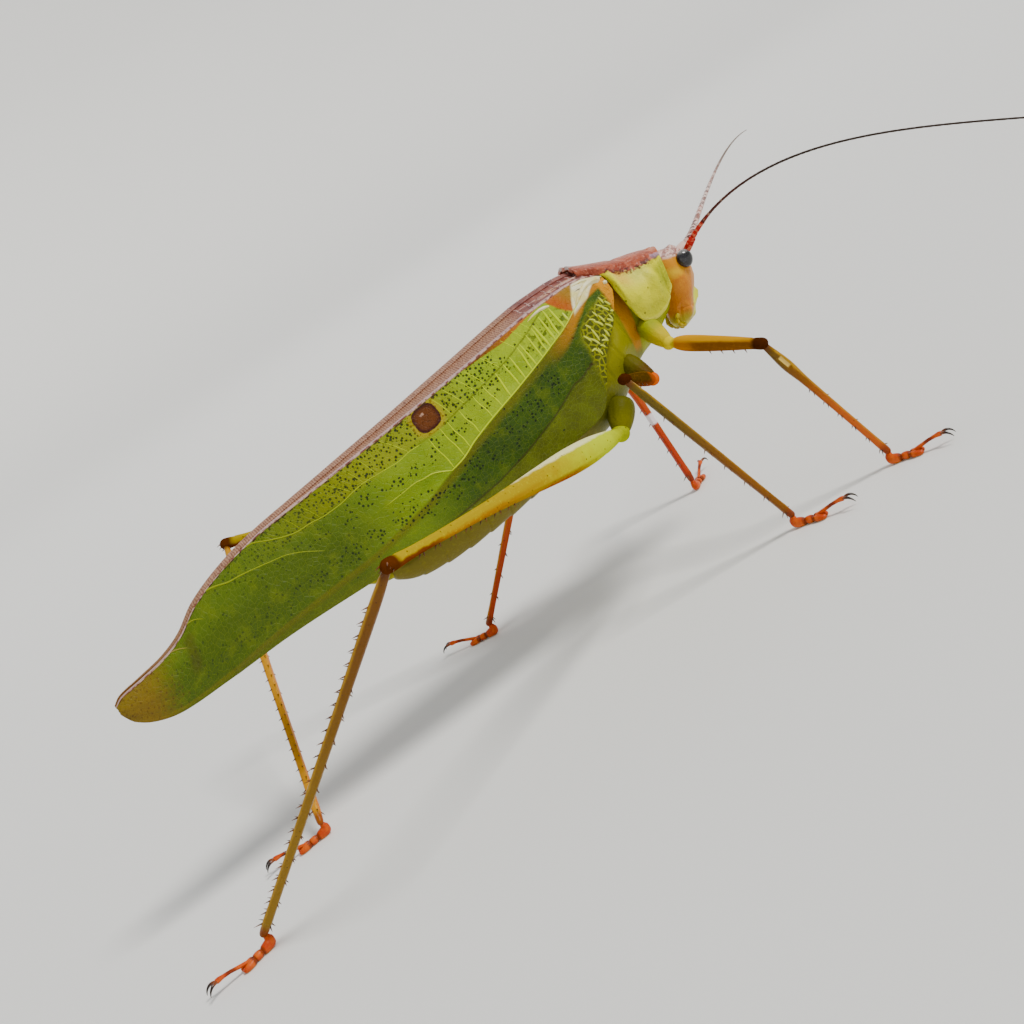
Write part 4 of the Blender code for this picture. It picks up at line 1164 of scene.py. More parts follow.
# black specks in the cells, close together in the upper field and in groups lower down
chance = flat.cells(2.7, outlet="Color", flat="2D")
gap = flat.cells(2.7, flat="2D")
toward_tip = x.rise(-27, -46)
size = chance.part(1) * 0.18 + 0.18 - toward_tip * 0.06
groups = flat.noise(0.8).rise(0.46, 0.54)
dense = share.rise(0.27, 0.2) * x.rise(-47, -43) * x.rise(-11.5, -16) * share.rise(0, 0.03)
middle_row = along(middle_belt, 0.075, 0.4) * x.rise(-6.8, -7.4)
low_rows = along(low_belt, 0.13, 0.4) * x.rise(-8.5, -9.5)
often = dense * (patch.rise(0.2, 0.5) * 0.35 + 0.4)
often = often + middle_row * groups * 0.7 + low_rows * groups * 0.8
picked = (chance.part(0) + often * (1 - dense * 0.1) + 0.02).rise(0.98, 1)
specks = (gap - size).rise(0.06, -0.06) * picked * share.rise(0.93, 0.88) * share.rise(0, 0.012)
flank.lay(specks * (0.92 - toward_tip * 0.42), 18, 30, 10)
small_specks = flat.cells(3.7, flat="2D").rise(0.3, 0.2) * (dense + low_rows * 0.4)
flank.lay(small_specks * flat.noise(1.3).rise(0.5, 0.6) * 0.7, 44, 58, 12)
# painted shade: a thin dark line along the groove of the fold
crease = along(fold_line, 0.012) * x.rise(-27, -24) * share.rise(0.99, 0.95)
flank.lay(crease * 0.8, 62, 58, 4)
teeth = along(fold_line, 0.035) * x.rise(-7.4, -6.6) * flat.noise(2.2, 1).rise(0.46, 0.54)
flank.lay(teeth * 0.8, 58, 44, 8)
shade_line = along(upper_line, 0.011) * x.rise(-26, -22) * x.rise(-7, -8)
flank.lay(shade_line * 0.65, 96, 104, 10)
# valleys between the ribs near the root and the sunken meshes of the ladder, both darkened with painted
# shade
valleys = flat.noise(1.7)
comb_field = x.rise(-12, -9) * x.rise(-4.8, -5.4) * (share - radial).rise(0, -0.03)
comb_field = comb_field * share.rise(0.08, 0.14)
flank.lay(comb_field * 0.3, 166, 186, 30)
flank.lay(comb_field * valleys.rise(0.5, 0.6) * 0.75, 52, 66, 4)
ladder = (x + share * 1.2).rise(-5.7, -4.9) * share.rise(0.42, 0.5)
meshes = ladder * flat.cells(1.7, "DISTANCE_TO_EDGE", flat="2D").rise(0.08, 0.2)
flank.lay(ladder * 0.8, 150, 152, 52)
flank.lay(meshes * 0.85, 58, 64, 6)
# the brown spot, a rounded square with a glint
SPOT_X, SPOT_ACROSS = -22.15, 1.22
spot = abs((x - SPOT_X) / 1.28) ** 3 + abs((across - SPOT_ACROSS) / 1.12) ** 3 + fine * 0.25
flank.lay(spot.rise(3.2, 1.1) * 0.6, 176, 152, 50)
brown = spot.rise(0.3, 0.9).mix((96, 54, 26), (60, 26, 12))
brown.lay(fine.rise(0.55, 0.7) * 0.3, 128, 80, 50)
flank.lay(spot.rise(1.2, 1.05), brown)
glint = abs(x + 22.35).rise(0.3, 0.16) * abs(across - 0.75).rise(0.16, 0.06)
flank.lay(glint * fine.rise(0.4, 0.6) * 0.8, 196, 160, 140)
# tip and hind edge, freckled brown, and a dark band across the wing before them
tip = (x - fine * 3 + share * 1.5).rise(-53.5, -57.5)
flank.lay(tip * 0.65, 132, 98, 44)
dark_cross_band = abs(x + 51.2 + share * share * 2.4 - patch).rise(0.9, 0.2) * share.rise(0.04, 0.12)
flank.lay(dark_cross_band * share.rise(0.66, 0.5) * 0.5, 72, 66, 10)
freckle = flat.cells(2.6, flat="2D").rise(0.3, 0.15) * x.rise(-49, -55) * fine.rise(0.45, 0.6)
flank.lay(freckle * 0.6, 70, 42, 14)
# at the root: an orange window over a cream corner, painted near-white partly as a painted highlight, a
# brown sliver under the fold, an orange band
window = (x - share * 5.9).rise(-6.95, -6.65) * share.rise(0.32, 0.27)
orange = (x - share * 4).rise(-6.4, -4.6).mix((176, 84, 16), (152, 108, 16))
flank.lay(window * 0.92, orange)
sliver = (share + abs(x + 12.2) * 0.0085 + fine * 0.01).rise(0.055, 0.045) * x.rise(-7, -7.6)
rusty = (x + 12).rise(-3, 3).mix((120, 62, 20), (178, 98, 22))
flank.lay(sliver * 0.9, rusty)
under_root = (share - radial).rise(0.15, 0.08) * (share - radial).rise(-0.01, 0.03) * x.rise(-10.5, -5)
flank.lay(under_root * 0.85, 184, 126, 16)
corner = (x + share * 5.5).rise(-3.7, -3.35) * (share + x * 0.11).rise(0, -0.05) * share.rise(0.34, 0.29)
cream_with_highlight = patch.rise(0.35, 0.7).mix((236, 226, 160), (244, 240, 214))
flank.lay(corner, cream_with_highlight)
hairs = abs(share - 0.1 - patch * 0.06).rise(0.016, 0.006) * x.rise(-3.9, -3.4) * x.rise(-2.5, -3)
flank.lay(hairs * 0.9, 50, 30, 12)
front = x.rise(-1.75, -1.25) * share.rise(0.08, 0.14)
flank.lay(front * 0.9, 216, 150, 40)
# the back: pinkish brown, finely cross-hatched, with a row of dark dashes along the fold
hatch = x.node("TexWave", {"wave_type": "BANDS"}, {"Vector": flat, "Scale": 1.3, "Distortion": 5,
                                                   "Detail": 2, "Detail Scale": 2}, 1)
back = (hatch * 0.35 + fine * 0.7).rise(0.2, 0.85).mix((112, 72, 56), (186, 146, 122))
root_back = (patch * 0.8 + fine * 0.4).rise(0.4, 0.8).mix((98, 54, 54), (160, 104, 92))
back.lay(x.rise(-11, -8), root_back)
shoulder = x.rise(-7.6, -5.2) * x.rise(-2.2, -3.2) * share.rise(-0.5, -0.35) * share.rise(-0.16, -0.24)
back.lay(shoulder * 0.8, 222, 178, 146)
back.lay(x.rise(-44, -56), 128, 92, 56)
dashes = abs(share - 0.012).rise(0.014, 0.005) * flat.noise(1.5, 1).rise(0.5, 0.56) * x.rise(-12, -18)
skin = share.rise(0.004, -0.004).mix(flank, back)
skin.lay(abs(share + 0.045).rise(0.03, 0.01) * 0.6, 206, 186, 190)
skin.lay(dashes * 0.9, 54, 24, 16)
ribs = net.rise(0, 0.12) * 0.4 + small_net.rise(0, 0.1) * 0.2
leaf.wear(skin, fine * 0.2 + 0.3,
          ribs + fine * 0.2 - specks * 0.6 - valleys * comb_field * 0.8 - meshes * 0.8, 0.06)

vein = Finish("tegmen_veins", 0.4)
fine = vein.place.noise(3, 3)
green = (vein.x + fine * 6).rise(-34, -14).mix((140, 150, 60), (198, 214, 78))
green.lay(vein.x.rise(-7, -5) * 0.7, 216, 220, 120)
green.lay(vein.x.rise(-48, -54), 150, 128, 80)
vein.wear(green, fine * 0.2 + 0.25, fine, 0.02)

ridge = Finish("tegmen_ridge", 0.42)
fine = ridge.place.noise(2.2, 3)
beads = (fine + ridge.x.rise(-12, -2) * 0.05).rise(0.4, 0.58)
ridge.wear(beads.mix((120, 72, 68), (198, 168, 160)), fine * 0.2 + 0.3, fine, 0.03)

root_horn = two_tone("wing_root_horn", 0.34, (1.6, 3), (0.4, 0.75), (238, 232, 190), (226, 206, 130),
                     0.2, 0.02, Coat_Weight=0.2, Coat_Roughness=0.2)

for name, side in SIDES:
    settle(wing_sheet(f"tegmen_sheet_{name}", side), "wing", [f"tegmen_{name}"], leaf, smooth=70)
    settle(vein_net(f"tegmen_veins_{name}", side, pale_veins()), "wing", [], vein)
    settle(vein_net(f"tegmen_ridge_{name}", side, back_veins()), "wing", [], ridge)
    settle(vein_net(f"tegmen_root_{name}", side, ROOT_VEINS), "wing", [], root_horn)


# ------------------------------------------------------------------ hind wings
# The flying wings lie pleated like a fan between the tegmina: clear, straw-tinted membrane on
# fine ribs, so only their edges show from below.

HINDWING_TOP = ((-50, 21.4), (-46, 23.2), (-34, 25.7), (-20, 27.2), (-11, 27.6))
HINDWING_FOOT = ((-50, 19.6), (-44, 19.3), (-36, 19.7), (-30, 21.4), (-24, 23.2),
                 (-17, 24.7), (-11, 25.9))
HINDWING_TIP, HINDWING_ROOT = -50, -11
HINDWING_Y = ((-50, 0.32), (-44, 0.4), (-30, 0.8), (-11, 1.1))
PLEATS = 7
PLEAT_DEPTH = 0.14
HINDWING_COLUMNS = 60
HINDWING_WALL = 0.08


def hindwing_point(u, v, side):
    x = HINDWING_TIP + (HINDWING_ROOT - HINDWING_TIP) * u
    top, foot = faired(HINDWING_TOP, x), faired(HINDWING_FOOT, x)
    pleat = PLEAT_DEPTH * (abs((v * PLEATS) % 1 - 0.5) * 4 - 1)
    return (x, side * (faired(HINDWING_Y, x) + pleat), foot + (top - foot) * v)


straw = Finish("hindwing_membrane", 0.35)
fine = straw.place.noise(2, 3)
ribs = straw.place.cells(0.9, "DISTANCE_TO_EDGE").rise(0.05, 0.01)
membrane = fine.rise(0.3, 0.7).mix((186, 184, 140), (206, 200, 160))
membrane.lay(ribs, 130, 118, 70)
straw.wear(membrane, fine * 0.2 + 0.2, fine, 0.02)
for name, side in SIDES:
    fan = fitted_grid(f"hindwing_fan_{name}", HINDWING_COLUMNS, PLEATS * 4,
                      lambda u, v: hindwing_point(u, v, side))
    give_wall(fan, HINDWING_WALL)
    settle(fan, "hindwing", [f"hindwing_{name}"], straw, smooth=30)


# ------------------------------------------------------------------ coxae and trochanters
# The hip joints: a stubby cone of hard cuticle in a socket of the thorax, and on its end the
# small knob that carries the thigh. A soft fold closes the joint.

def node_points(node):
    """A solid's points in millimetres from the hinge."""
    return corners(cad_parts[node])[0] / MM - np.array(HINGE / MM)


def node_ends(node):
    """The middles of the two flat ends of a long solid."""
    points = np.unique(node_points(node).round(4), axis=0)
    middle = points.mean(axis=0)
    axis = np.linalg.svd(points - middle, full_matrices=False)[2][0]
    reach = (points - middle) @ axis
    edge = 0.02 * (reach.max() - reach.min())
    return [Vector(points[picked].mean(axis=0)) for picked in (reach < reach.min() + edge,
                                                              reach > reach.max() - edge)]


def crossing(first, second):
    """The point where two straight limbs would meet, from the ends of each."""
    a, b = first
    c, d = second
    u, v, w = (b - a).normalized(), (d - c).normalized(), a - c
    k = u.dot(v)
    s = (k * v.dot(w) - u.dot(w)) / (1 - k * k)
    t = (v.dot(w) - k * u.dot(w)) / (1 - k * k)
    return (a + u * s + c + v * t) / 2


KINDS = ("fore", "mid", "hind")
HIP_REACH = {"fore": 0.87, "mid": 0.87, "hind": 1.1}       # hip centre to the femur's solid
COXA_RADIUS = {"fore": (1.15, 0.78), "mid": (1.05, 0.75), "hind": (1.45, 0.98)}
COXA_LENGTH = 3.3


def leg_joints(kind, name):
    """Hip, knee and ankle of a leg, from its solids."""
    thigh, shin = node_ends(f"femur_{kind}_{name}"), node_ends(f"tibia_{kind}_{name}")
    knee = crossing(thigh, shin)
    root = max(thigh, key=lambda end: (end - knee).length)
    ankle = max(shin, key=lambda end: (end - knee).length)
    hip = root + (root - knee).normalized() * HIP_REACH[kind]
    return hip, knee, ankle


def copy_piece(piece, name):
    made = piece.copy()
    made.data = piece.data.copy()
    made.name = name
    bpy.context.scene.collection.objects.link(made)
    return made


def discard(*pieces):
    for piece in pieces:
        bpy.data.objects.remove(piece, do_unlink=True)


def coxa_model(kind):
    """A hip cone along +X, whose last stations are the trochanter's narrow end."""
    wide, narrow = COXA_RADIUS[kind]
    cone = [(x, 0, wide * part, wide * high) for x, part, high in
            ((-0.4, 0.8, 0.8), (0.5, 1, 1), (1.4, 0.98, 0.98), (2.3, 0.82, 0.84))]
    cone += [(x, 0, narrow * part, narrow * high) for x, part, high in
             ((2.9, 0.98, 1), (3.1, 0.84, 0.84), (COXA_LENGTH, 0.7, 0.7))]
    return refine(draw_out(f"coxa_{kind}", 12, cone), 2)


COXA_TINT = {"fore": ((150, 156, 18), (196, 178, 26)), "mid": ((92, 88, 5), (84, 62, 6)),
             "hind": ((88, 88, 5), (108, 106, 8))}
for kind in KINDS:
    hard = Finish(f"{kind}_coxa_cuticle", 0.42, own_lie=True, Specular_IOR_Level=0.06)
    fine = hard.place.noise(1.6, 3)
    tint = (hard.x + fine).rise(1.2, 3.2).mix(*COXA_TINT[kind])
    hard.wear(tint, fine * 0.2 + 0.4, hard.place.cells(5), 0.03)
    model = coxa_model(kind)
    wide = COXA_RADIUS[kind][0]
    press(model, [([(0.6, 0, wide), (2.4, 0, wide * 0.8)], 0.2, -0.06)])
    keep_lie(model)
    for name, side in SIDES:
        hip = leg_joints(kind, name)[0]
        low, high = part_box(f"coxa_{kind}_{name}")
        middle = ((low + high) / 2 - HINGE) / MM
        cone = copy_piece(model, f"coxa_cone_{kind}_{name}")
        toward = (hip - middle).normalized()
        stand(cone, hip - toward * COXA_LENGTH, toward, (0, 0, 1))
        settle(cone, f"{kind}_leg", [f"coxa_{kind}_{name}"], hard)
    discard(model)


# ------------------------------------------------------------------ thighs
# Each femur is a straight hollow spindle of cuticle, thick at the hip where the muscle is, with
# two lobes that clasp the shin at the knee. The hind pair, for jumping, is the longest.

KNEE_RADIUS = {"fore": 0.6, "mid": 0.56, "hind": 0.66}
KNOB_RADIUS = {"fore": 0.74, "mid": 0.72, "hind": 0.98}
FEMUR_SHAPE = {
    "fore": ((0, 0.62), (0.1, 0.8), (0.3, 0.82), (0.7, 0.68), (0.9, 0.56), (1, 0.6)),
    "mid": ((0, 0.55), (0.1, 0.7), (0.35, 0.72), (0.7, 0.58), (0.9, 0.5), (1, 0.56)),
    "hind": ((0, 0.7), (0.05, 0.95), (0.14, 1.28), (0.26, 1.34), (0.42, 1.06), (0.58, 0.74),
             (0.75, 0.56), (0.92, 0.52), (0.97, 0.64), (1, 0.6))}
FEMUR_FLATTEN = {"fore": 0.9, "mid": 0.9, "hind": 0.8}


def cone_spine(place, direction, length, radius):
    """One spine as the points and faces of a slim five-sided cone, bent a little."""
    direction = Vector(direction).normalized()
    side = direction.cross(Vector((0.3, 0.9, 0.2))).normalized()
    back = direction.cross(side)
    points, faces = [], []
    for reach, size in ((-0.12, 1), (0.45, 0.62)):
        for i in range(5):
            turn = 2 * pi * i / 5
            points.append(Vector(place) + direction * length * reach
                          + (side * cos(turn) + back * sin(turn)) * radius * size)
    points.append(Vector(place) + direction * length)
    for i in range(5):
        j = (i + 1) % 5
        faces += [(i, j, 5 + j, 5 + i), (5 + i, 5 + j, 10)]
    faces.append((4, 3, 2, 1, 0))
    return points, faces


def grow_spines(piece, spines):
    """Joins spines to a limb; each is its root, direction, length and radius."""
    points, faces = [], []
    for spine in spines:
        more_points, more_faces = cone_spine(*spine)
        faces += [tuple(i + len(points) for i in face) for face in more_faces]
        points += more_points
    mesh = bpy.data.meshes.new("spines")
    mesh.from_pydata([tuple(p) for p in points], [], faces)
    rows = bpy.data.objects.new("spines", mesh)
    bpy.context.scene.collection.objects.link(rows)
    pick(rows)
    bpy.ops.object.mode_set(mode="EDIT")
    bpy.ops.mesh.select_all(action="SELECT")
    bpy.ops.mesh.normals_make_consistent(inside=False)
    bpy.ops.object.mode_set(mode="OBJECT")
    join([piece, rows])


def femur_model(kind, length):
    """A thigh along +X from the hip, with a ball at the hip and the knee's cap at its end."""
    reach = HIP_REACH[kind]
    flat, knob, knee = FEMUR_FLATTEN[kind], KNOB_RADIUS[kind], KNEE_RADIUS[kind]
    profile = [(x * knob, size * knob) for x, size in
               ((-0.75, 0.5), (-0.4, 0.84), (0, 0.97), (0.4, 0.9), (0.68, 0.66), (0.8, 0.6))]
    count = 26 if kind == "hind" else 14
    for i in range(count):
        share = (i + 0.35) / count
        profile.append((reach + (length - reach) * share, faired(FEMUR_SHAPE[kind], share)))
    profile += [(length + knee * part, knee * size) for part, size in
                ((0, 1.02), (0.35, 0.94), (0.65, 0.74), (0.86, 0.48), (0.95, 0.25))]
    model = refine(draw_out(f"femur_{kind}", 14, [(x, 0, r * (flat if x > knob else 1), r)
                                                  for x, r in profile]), 2)
    side, neck = -knee * flat, length - 1.5 * knee
    ridges = [([(x, 0, -r) for x, r in profile[8:-4]], 0.28 if kind == "hind" else 0.2, -0.12),
              ([(length - 0.3, side, -0.05), (length + 0.15, side, 0.05)], 0.32, 0.12),
              ([(neck, side * 0.6, 0.45 * knee), (neck, 0, knee * 0.9)], 0.16, -0.08)]
    for turn in (radians(40), radians(-32)):     # the long ribs of the outer and inner faces
        rib = [(x, -r * flat * cos(turn), r * sin(turn)) for x, r in profile[9:-6]]
        ridges.append((rib, 0.13, 0.06 if kind == "hind" else 0.045))
    press(model, ridges)
    return model


def femur_spines(kind, length):
    spines = []
    count, first = (7, 0.55) if kind == "hind" else (4, 0.45)
    for i in range(count):
        share = first + (0.95 - first) * i / count
        size = faired(FEMUR_SHAPE[kind], share)
        for side in (-1, 1):
            root = (length * share, side * size * 0.38, -size * 0.86)
            spines.append((root, (0.55, side * 0.25, -0.75), 0.42, 0.075))
    if kind == "hind":
        for i in range(3):           # pale spines of the knee
            for side in (-1, 1):
                spines.append(((length + 0.1 + 0.16 * i, side * 0.42, -0.35 + 0.3 * i),
                               (0.8, side * 0.4, -0.3), 0.5, 0.08))
    return spines


def thigh_finish(kind, name, length):
    hard = Finish(f"{kind}_thigh_cuticle_{name}", 0.36, own_lie=True, Specular_IOR_Level=0)
    x, back = hard.x, hard.z
    cloud, fine = hard.place.noise(0.8, 3), hard.place.noise(4, 4)
    if kind == "hind":
        level = back + cloud * 0.4
        tint = (x + cloud * 8).rise(9, 22).mix((192, 204, 1), (168, 146, 1))
        tint.lay((x + cloud * 4).rise(6, 2), 158, 166, 16)
        tint.lay(x.rise(5, 14) * level.rise(-0.35, -0.8), 146, 84, 1)
        shine = level.rise(0.95, 1.2) * x.rise(length * 0.9, length * 0.7)
        tint.lay(shine * 0.85, 244, 240, 190)
        tint.lay(x.rise(length * 0.35, length * 0.65) * level.rise(0.3, -0.1) * 0.85, 152, 102, 1)
        tint.lay(fine.rise(0.55, 0.75) * 0.3, 210, 214, 4)
        specks = hard.place.cells(1.8).rise(0.2, 0.1) * hard.place.noise(0.7).rise(0.46, 0.56)
        tint.lay(specks * 0.8, 70, 52, 6)
        streak = x.rise(length - 9, length - 5) * level.rise(0.25, 0.05) * level.rise(-0.5, -0.2)
        tint.lay(streak * 0.85, 92, 34, 10)
        tint.lay((x + cloud * 0.7).rise(length - 1, length - 0.2), 82, 44, 16)
    else:
        # the mid pair turns dark brown along the thigh: partly its own colour, partly painted shade
        base = {"fore": ((190, 128, 8), (126, 82, 6)), "mid": ((168, 82, 10), (70, 52, 5))}[kind]
        tint = (x + cloud * 2).rise(2.6, 5.4).mix(*base)
        # painted highlight along the top of the thigh, strong on the fore pair and faint on the mid pair
        top_highlight_strength = 0.8 if kind == "fore" else 0.15
        tint.lay((back + cloud * 0.2).rise(0.42, 0.7) * top_highlight_strength, 206, 156, 50)
        # painted shade along the underside
        tint.lay((back + cloud * 0.2).rise(-0.2, -0.6) * 0.8, 120, 58, 6)
        tint.lay(fine.rise(0.5, 0.7) * 0.15, 190, 130, 30)
        tint.lay((x + cloud * 0.7).rise(length - 0.9, length - 0.2), 64, 34, 12)
        knob = {"fore": (214, 196, 40), "mid": (206, 104, 26)}[kind]
        tint.lay(x.rise(1.2, 0.7), *knob)
    hard.wear(tint, fine * 0.15 + 0.2, hard.place.cells(3.4) * 0.7 + fine * 0.3, 0.012)
    return hard


horn_dark = two_tone("spine_horn", 0.3, (2, 2), (0.3, 0.7), (54, 30, 16), (112, 66, 30), 0.2, 0.01,
                     Specular_IOR_Level=0.4)


def limb(name, model, spines, start, along, finish, slot, node):
    """Settles a copy of a limb's model at its place, with spines of horn as its second finish."""
    made = copy_piece(model, name)
    limb_faces = len(made.data.polygons)
    grow_spines(made, spines)
    keep_lie(made)
    stand(made, start, along, (0, 0, 1))
    made.data.materials.clear()
    made.data.materials.append(finish.material)
    made.data.materials.append(horn_dark.material)
    for polygon in made.data.polygons[limb_faces:]:
        polygon.material_index = 1
    settle(made, slot, [node], None, smooth=50)


for kind in KINDS:
    hip, knee, ankle = leg_joints(kind, "right")
    length = (knee - hip).length
    model = femur_model(kind, length)
    for name, side in SIDES:
        hip, knee, ankle = leg_joints(kind, name)
        limb(f"femur_shell_{kind}_{name}", model, femur_spines(kind, length), hip, knee - hip,
             thigh_finish(kind, name, length), f"{kind}_leg", f"femur_{kind}_{name}")
    discard(model)


# ------------------------------------------------------------------ shins
# Slim four-cornered rods of cuticle, hinged in the knee, with rows of short spines along their
# edges. The fore pair swells below the knee round the ear, an oval drum on each side.

EAR_SHARE = 0.165                    # how far down the fore shin the ear lies
TIBIA_SHAPE = {
    "fore": ((0, 0.36), (0.06, 0.42), (0.13, 0.56), (0.2, 0.56), (0.3, 0.42), (0.9, 0.36),
             (1, 0.42)),
    "mid": ((0, 0.36), (0.1, 0.42), (0.5, 0.4), (0.92, 0.33), (1, 0.4)),
    "hind": ((0, 0.38), (0.05, 0.48), (0.4, 0.44), (0.9, 0.4), (1, 0.46))}


def tibia_model(kind, length):
    start = KNEE_RADIUS[kind] * 0.9
    profile = [(-0.2, 0.16), (-0.05, 0.3), (0.25, 0.36), (start, 0.34)]
    count = 20 if kind == "hind" else 16
    for i in range(count):
        share = (i + 0.4) / count
        profile.append((start + (length - start) * share, faired(TIBIA_SHAPE[kind], share)))
    profile += [(length + 0.05, 0.38), (length + 0.26, 0.32), (length + 0.4, 0.16)]
    model = refine(draw_out(f"tibia_{kind}", 12, [(x, 0, r * 0.92, r) for x, r in profile]), 2)
    edges = [([(x, r * 0.92 * cos(radians(turn)), r * sin(radians(turn))) for x, r in profile[5:-3]],
              0.14, 0.06) for turn in (45, 135, 225, 315)]
    press(model, edges, mirror=False)
    if kind == "fore":
        middle = length * EAR_SHARE
        for side in (-0.5, 0.5):
            rim = [(middle + 0.95 * cos(2 * pi * i / 16), side, 0.05 + 0.33 * sin(2 * pi * i / 16))
                   for i in range(17)]
            press(model, (([(middle - 0.5, side, 0.05), (middle + 0.5, side, 0.05)], 0.3, -0.16),
                          (rim, 0.1, 0.07)), mirror=False)
    return model


# rows of spines: how many, first share of the length, turn from the back in degrees, spine length
SPINE_ROWS = {
    "hind": ((26, 0.1, 33, 0.62), (26, 0.12, -33, 0.62), (11, 0.3, 150, 0.4), (11, 0.32, -150, 0.4)),
    "mid": ((6, 0.3, 30, 0.4), (7, 0.25, 145, 0.5), (7, 0.28, -145, 0.5)),
    "fore": ((6, 0.4, 140, 0.5), (6, 0.42, -140, 0.5), (3, 0.5, 30, 0.35))}


def tibia_spines(kind, length):
    spines = []
    for count, first, turn, size in SPINE_ROWS[kind]:
        out = Vector((0, sin(radians(turn)), cos(radians(turn))))
        for i in range(count):
            share = first + (0.97 - first) * i / (count - 1)
            root = Vector((length * share, 0, 0)) + out * faired(TIBIA_SHAPE[kind], share) * 0.95
            spines.append((root, Vector((0.75, 0, 0)) + out, size * (1 if share < 0.95 else 1.3), 0.08))
    return spines


# the sides differ mostly by painted light and shade: the right shins darker olive-brown as if shaded, the
# left ones bright orange as if lit
SHIN_TINT_LIT_AND_SHADED = {
    "fore_right": ((104, 78, 12), (180, 92, 16)), "fore_left": ((180, 84, 8), (168, 62, 8)),
    "mid_right": ((94, 78, 16), (120, 76, 18)), "mid_left": ((190, 98, 20), (170, 70, 18)),
    "hind_right": ((112, 74, 20), (134, 104, 26)), "hind_left": ((190, 122, 18), (206, 126, 18))}
for kind in KINDS:
    hip, knee, ankle = leg_joints(kind, "right")
    length = (ankle - knee).length
    model = tibia_model(kind, length)
    for name, side in SIDES:
        shin = Finish(f"{kind}_shin_cuticle_{name}", 0.38, own_lie=True)
        cloud, fine = shin.place.noise(0.9, 3), shin.place.noise(4, 3)
        tint = (shin.x + cloud * 3).rise(length * 0.2, length * 0.8).mix(*SHIN_TINT_LIT_AND_SHADED[f"{kind}_{name}"])
        # painted highlight along the top of the shin
        tint.lay((shin.z + cloud * 0.2).rise(0.2, 0.42) * 0.7, 186, 144, 60)
        tint.lay((shin.x + cloud * 0.5).rise(1.6, 0.7), 92, 54, 24)
        tint.lay(shin.x.rise(length - 1.2, length - 0.3) * 0.8, 120, 52, 28)
        specks = shin.place.cells(2).rise(0.18, 0.08) * fine.rise(0.45, 0.55)
        tint.lay(specks * 0.7, 56, 34, 14)
        if kind == "fore":
            drum = abs(shin.x - length * EAR_SHARE).rise(0.7, 0.5) * abs(shin.z - 0.05).rise(0.22, 0.14)
            tint.lay(drum * abs(shin.y).rise(0.2, 0.3) * 0.8, 226, 196, 120)
        if (kind, name) == ("fore", "left"):
            # a painted highlight: a white band round the middle of the left fore shin
            painted_highlight_band = abs(shin.x - length * 0.5 + cloud * 0.4).rise(0.75, 0.5)
            tint.lay(painted_highlight_band, 238, 228, 232)
        shin.wear(tint, fine * 0.2 + 0.24, shin.place.cells(4), 0.03)
        hip, knee, ankle = leg_joints(kind, name)
        limb(f"tibia_shell_{kind}_{name}", model, tibia_spines(kind, length), knee, ankle - knee,
             shin, "shin", f"tibia_{kind}_{name}")
    discard(model)


# ------------------------------------------------------------------ feet and claws
# A tarsus has four joints: two short ones with pads, a broad one of two lobes that grip, and a
# slim raised one with two hooked claws of dark horn. The cuticle is reddish, banded dark.

HEEL = 0.45                          # how far the heel lies behind the ankle
# the joints of a foot: x, the rise of the middle, half width and half height along each
HEEL_JOINT = ((-0.05, 0.7, 0.16, 0.3), (0.1, 0.62, 0.36, 0.5), (0.5, 0.5, 0.46, 0.56),
              (1.05, 0.42, 0.47, 0.5), (1.35, 0.38, 0.4, 0.4), (1.48, 0.38, 0.22, 0.24))
SECOND_JOINT = ((1.3, 0.4, 0.2, 0.22), (1.5, 0.38, 0.36, 0.36), (1.85, 0.36, 0.46, 0.42),
                (2.2, 0.34, 0.42, 0.38), (2.38, 0.34, 0.22, 0.24))
BROAD_LOBE = ((2.2, 0.36, 0.14, 0.2), (2.45, 0.34, 0.3, 0.34), (2.95, 0.28, 0.4, 0.34),
              (3.35, 0.24, 0.36, 0.28), (3.62, 0.24, 0.18, 0.16))
# round rods: x, how far out to the side, rise and radius
KNUCKLE = ((0.45, 0, 1.36, 0.1), (0.45, 0, 1.24, 0.24), (0.42, 0, 1.05, 0.33), (0.36, 0, 0.8, 0.36),
           (0.3, 0, 0.55, 0.3))
CLAW_JOINT = ((2.6, 0, 0.5, 0.16), (3.1, 0, 0.62, 0.19), (3.7, 0, 0.78, 0.18), (4.4, 0, 0.98, 0.17),
              (5.1, 0, 1.1, 0.19), (5.5, 0, 1.14, 0.25), (5.72, 0, 1.14, 0.25), (5.82, 0, 1.13, 0.12))
CLAW = ((5.7, 0.08, 1.12, 0.13), (5.98, 0.24, 1.22, 0.17), (6.3, 0.38, 1.2, 0.14),
        (6.6, 0.45, 1.02, 0.1), (6.8, 0.46, 0.76, 0.055), (6.86, 0.45, 0.6, 0.02))


def tapered_rod(name, stations, side=1, resolution=2):
    return bent_rod(name, [(x, side * out, rise) for x, out, rise, _ in stations],
                    [radius for _, _, _, radius in stations], resolution)


def pad(name, stations, shift=0):
    """A foot joint with a flat sole, moved sideways."""
    made = refine(draw_out(name, 10, stations), 2)
    places = corners(made)[0]
    places[:, 1] += shift
    places[:, 2] = np.maximum(places[:, 2], 0)
    put_corners(made, places)
    return made


red = Finish("foot_cuticle", 0.38, own_lie=True)
cloud, fine = red.place.noise(1.2, 3), red.place.noise(5, 3)
tint = cloud.rise(0.35, 0.65).mix((176, 70, 24), (200, 98, 40))
bands = abs(red.x - 1.42).rise(0.3, 0.1) + abs(red.x - 2.34).rise(0.3, 0.1) + abs(red.x - 4.4).rise(0.7, 0.2)
tint.lay(bands * 0.75, 88, 36, 22)
tint.lay(red.z.rise(0.16, 0.02), 206, 160, 96)
red.wear(tint, fine * 0.2 + 0.26, fine, 0.03)

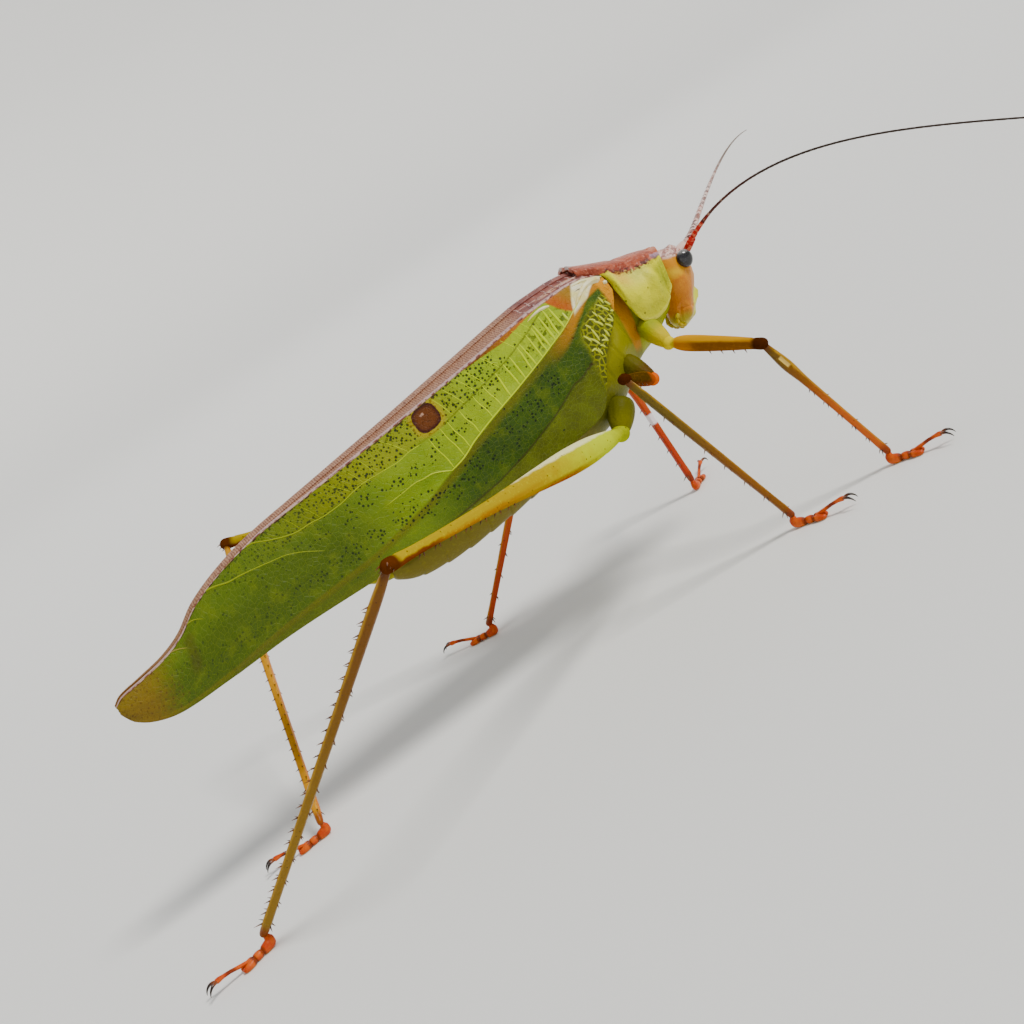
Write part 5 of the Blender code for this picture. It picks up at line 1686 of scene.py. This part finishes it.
black_horn = Finish("claw_horn", 0.22, own_lie=True, Specular_IOR_Level=0.5)
fine = black_horn.place.noise(2.5, 2)
tint = (black_horn.x + fine * 0.4).rise(6, 6.6).mix((120, 62, 30), (34, 22, 16))
black_horn.wear(tint, fine * 0.15 + 0.16, fine, 0.01)

foot = join([pad("heel_joint", HEEL_JOINT), pad("second_joint", SECOND_JOINT),
             pad("right_lobe", BROAD_LOBE, -0.3), pad("left_lobe", BROAD_LOBE, 0.3),
             tapered_rod("ankle_knuckle", KNUCKLE, resolution=4), tapered_rod("claw_joint", CLAW_JOINT)])
claws = join([refine(tapered_rod("claw", CLAW, side), 1) for _, side in SIDES])
MODELS = ((foot, "tarsus_pads", "foot", red, "tarsus"), (claws, "claw_hooks", "claw", black_horn, "claws"))
for kind in KINDS:
    for name, side in SIDES:
        ankle = leg_joints(kind, name)[2]
        heel, toe = sorted(node_ends(f"tarsus_{kind}_{name}"), key=lambda end: (end - ankle).length)
        ahead = Vector((toe.x - heel.x, toe.y - heel.y, 0)).normalized()
        place = Vector((ankle.x, ankle.y, 0)) - ahead * HEEL
        for model, title, slot, finish, node in MODELS:
            made = copy_piece(model, f"{title}_{kind}_{name}")
            keep_lie(made)
            stand(made, place, ahead, (0, 0, 1))
            settle(made, slot, [f"{node}_{kind}_{name}"], finish)
discard(foot, claws)


# ------------------------------------------------------------------ tail
# The male's last plates: a boat-shaped plate below and two curved claspers above it, all olive
# cuticle, jointed to the last ring of the abdomen.

# round rods, as before: x, how far out to the side, rise and radius
TAIL_PLATE = ((-31.6, 0, 16.3, 0.62), (-32.6, 0, 16.4, 0.66), (-33.6, 0, 16.6, 0.52),
              (-34.4, 0, 17, 0.36), (-35, 0, 17.45, 0.14))
CLASPER = ((-31.9, 0.7, 17.7, 0.24), (-32.5, 0.8, 17.95, 0.3), (-33.2, 0.98, 18.2, 0.28),
           (-33.9, 0.95, 18.6, 0.22), (-34.4, 0.7, 19.1, 0.15), (-34.55, 0.45, 19.5, 0.05))
tail = two_tone("tail_cuticle", 0.4, (2, 3), (0.3, 0.7), (122, 124, 30), (160, 152, 60), 0.28, 0.03)
boat = refine(tapered_rod("tail_plate", TAIL_PLATE), 2)
places = corners(boat)[0]
places[:, 1] *= 1.35
hollow = np.clip((places[:, 2] - 16.6) * 2, 0, 1) * np.clip(1 - np.abs(places[:, 1]) * 2, 0, 1)
places[:, 2] -= 0.28 * hollow
put_corners(boat, places)
settle(boat, "tail", ["subgenital_plate"], tail)
for name, side in SIDES:
    hook = refine(tapered_rod(f"tail_clasper_{name}", CLASPER, side), 2)
    settle(hook, "tail", [f"cercus_{name}"], tail)


# ------------------------------------------------------------------ the finished insect

low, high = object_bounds()
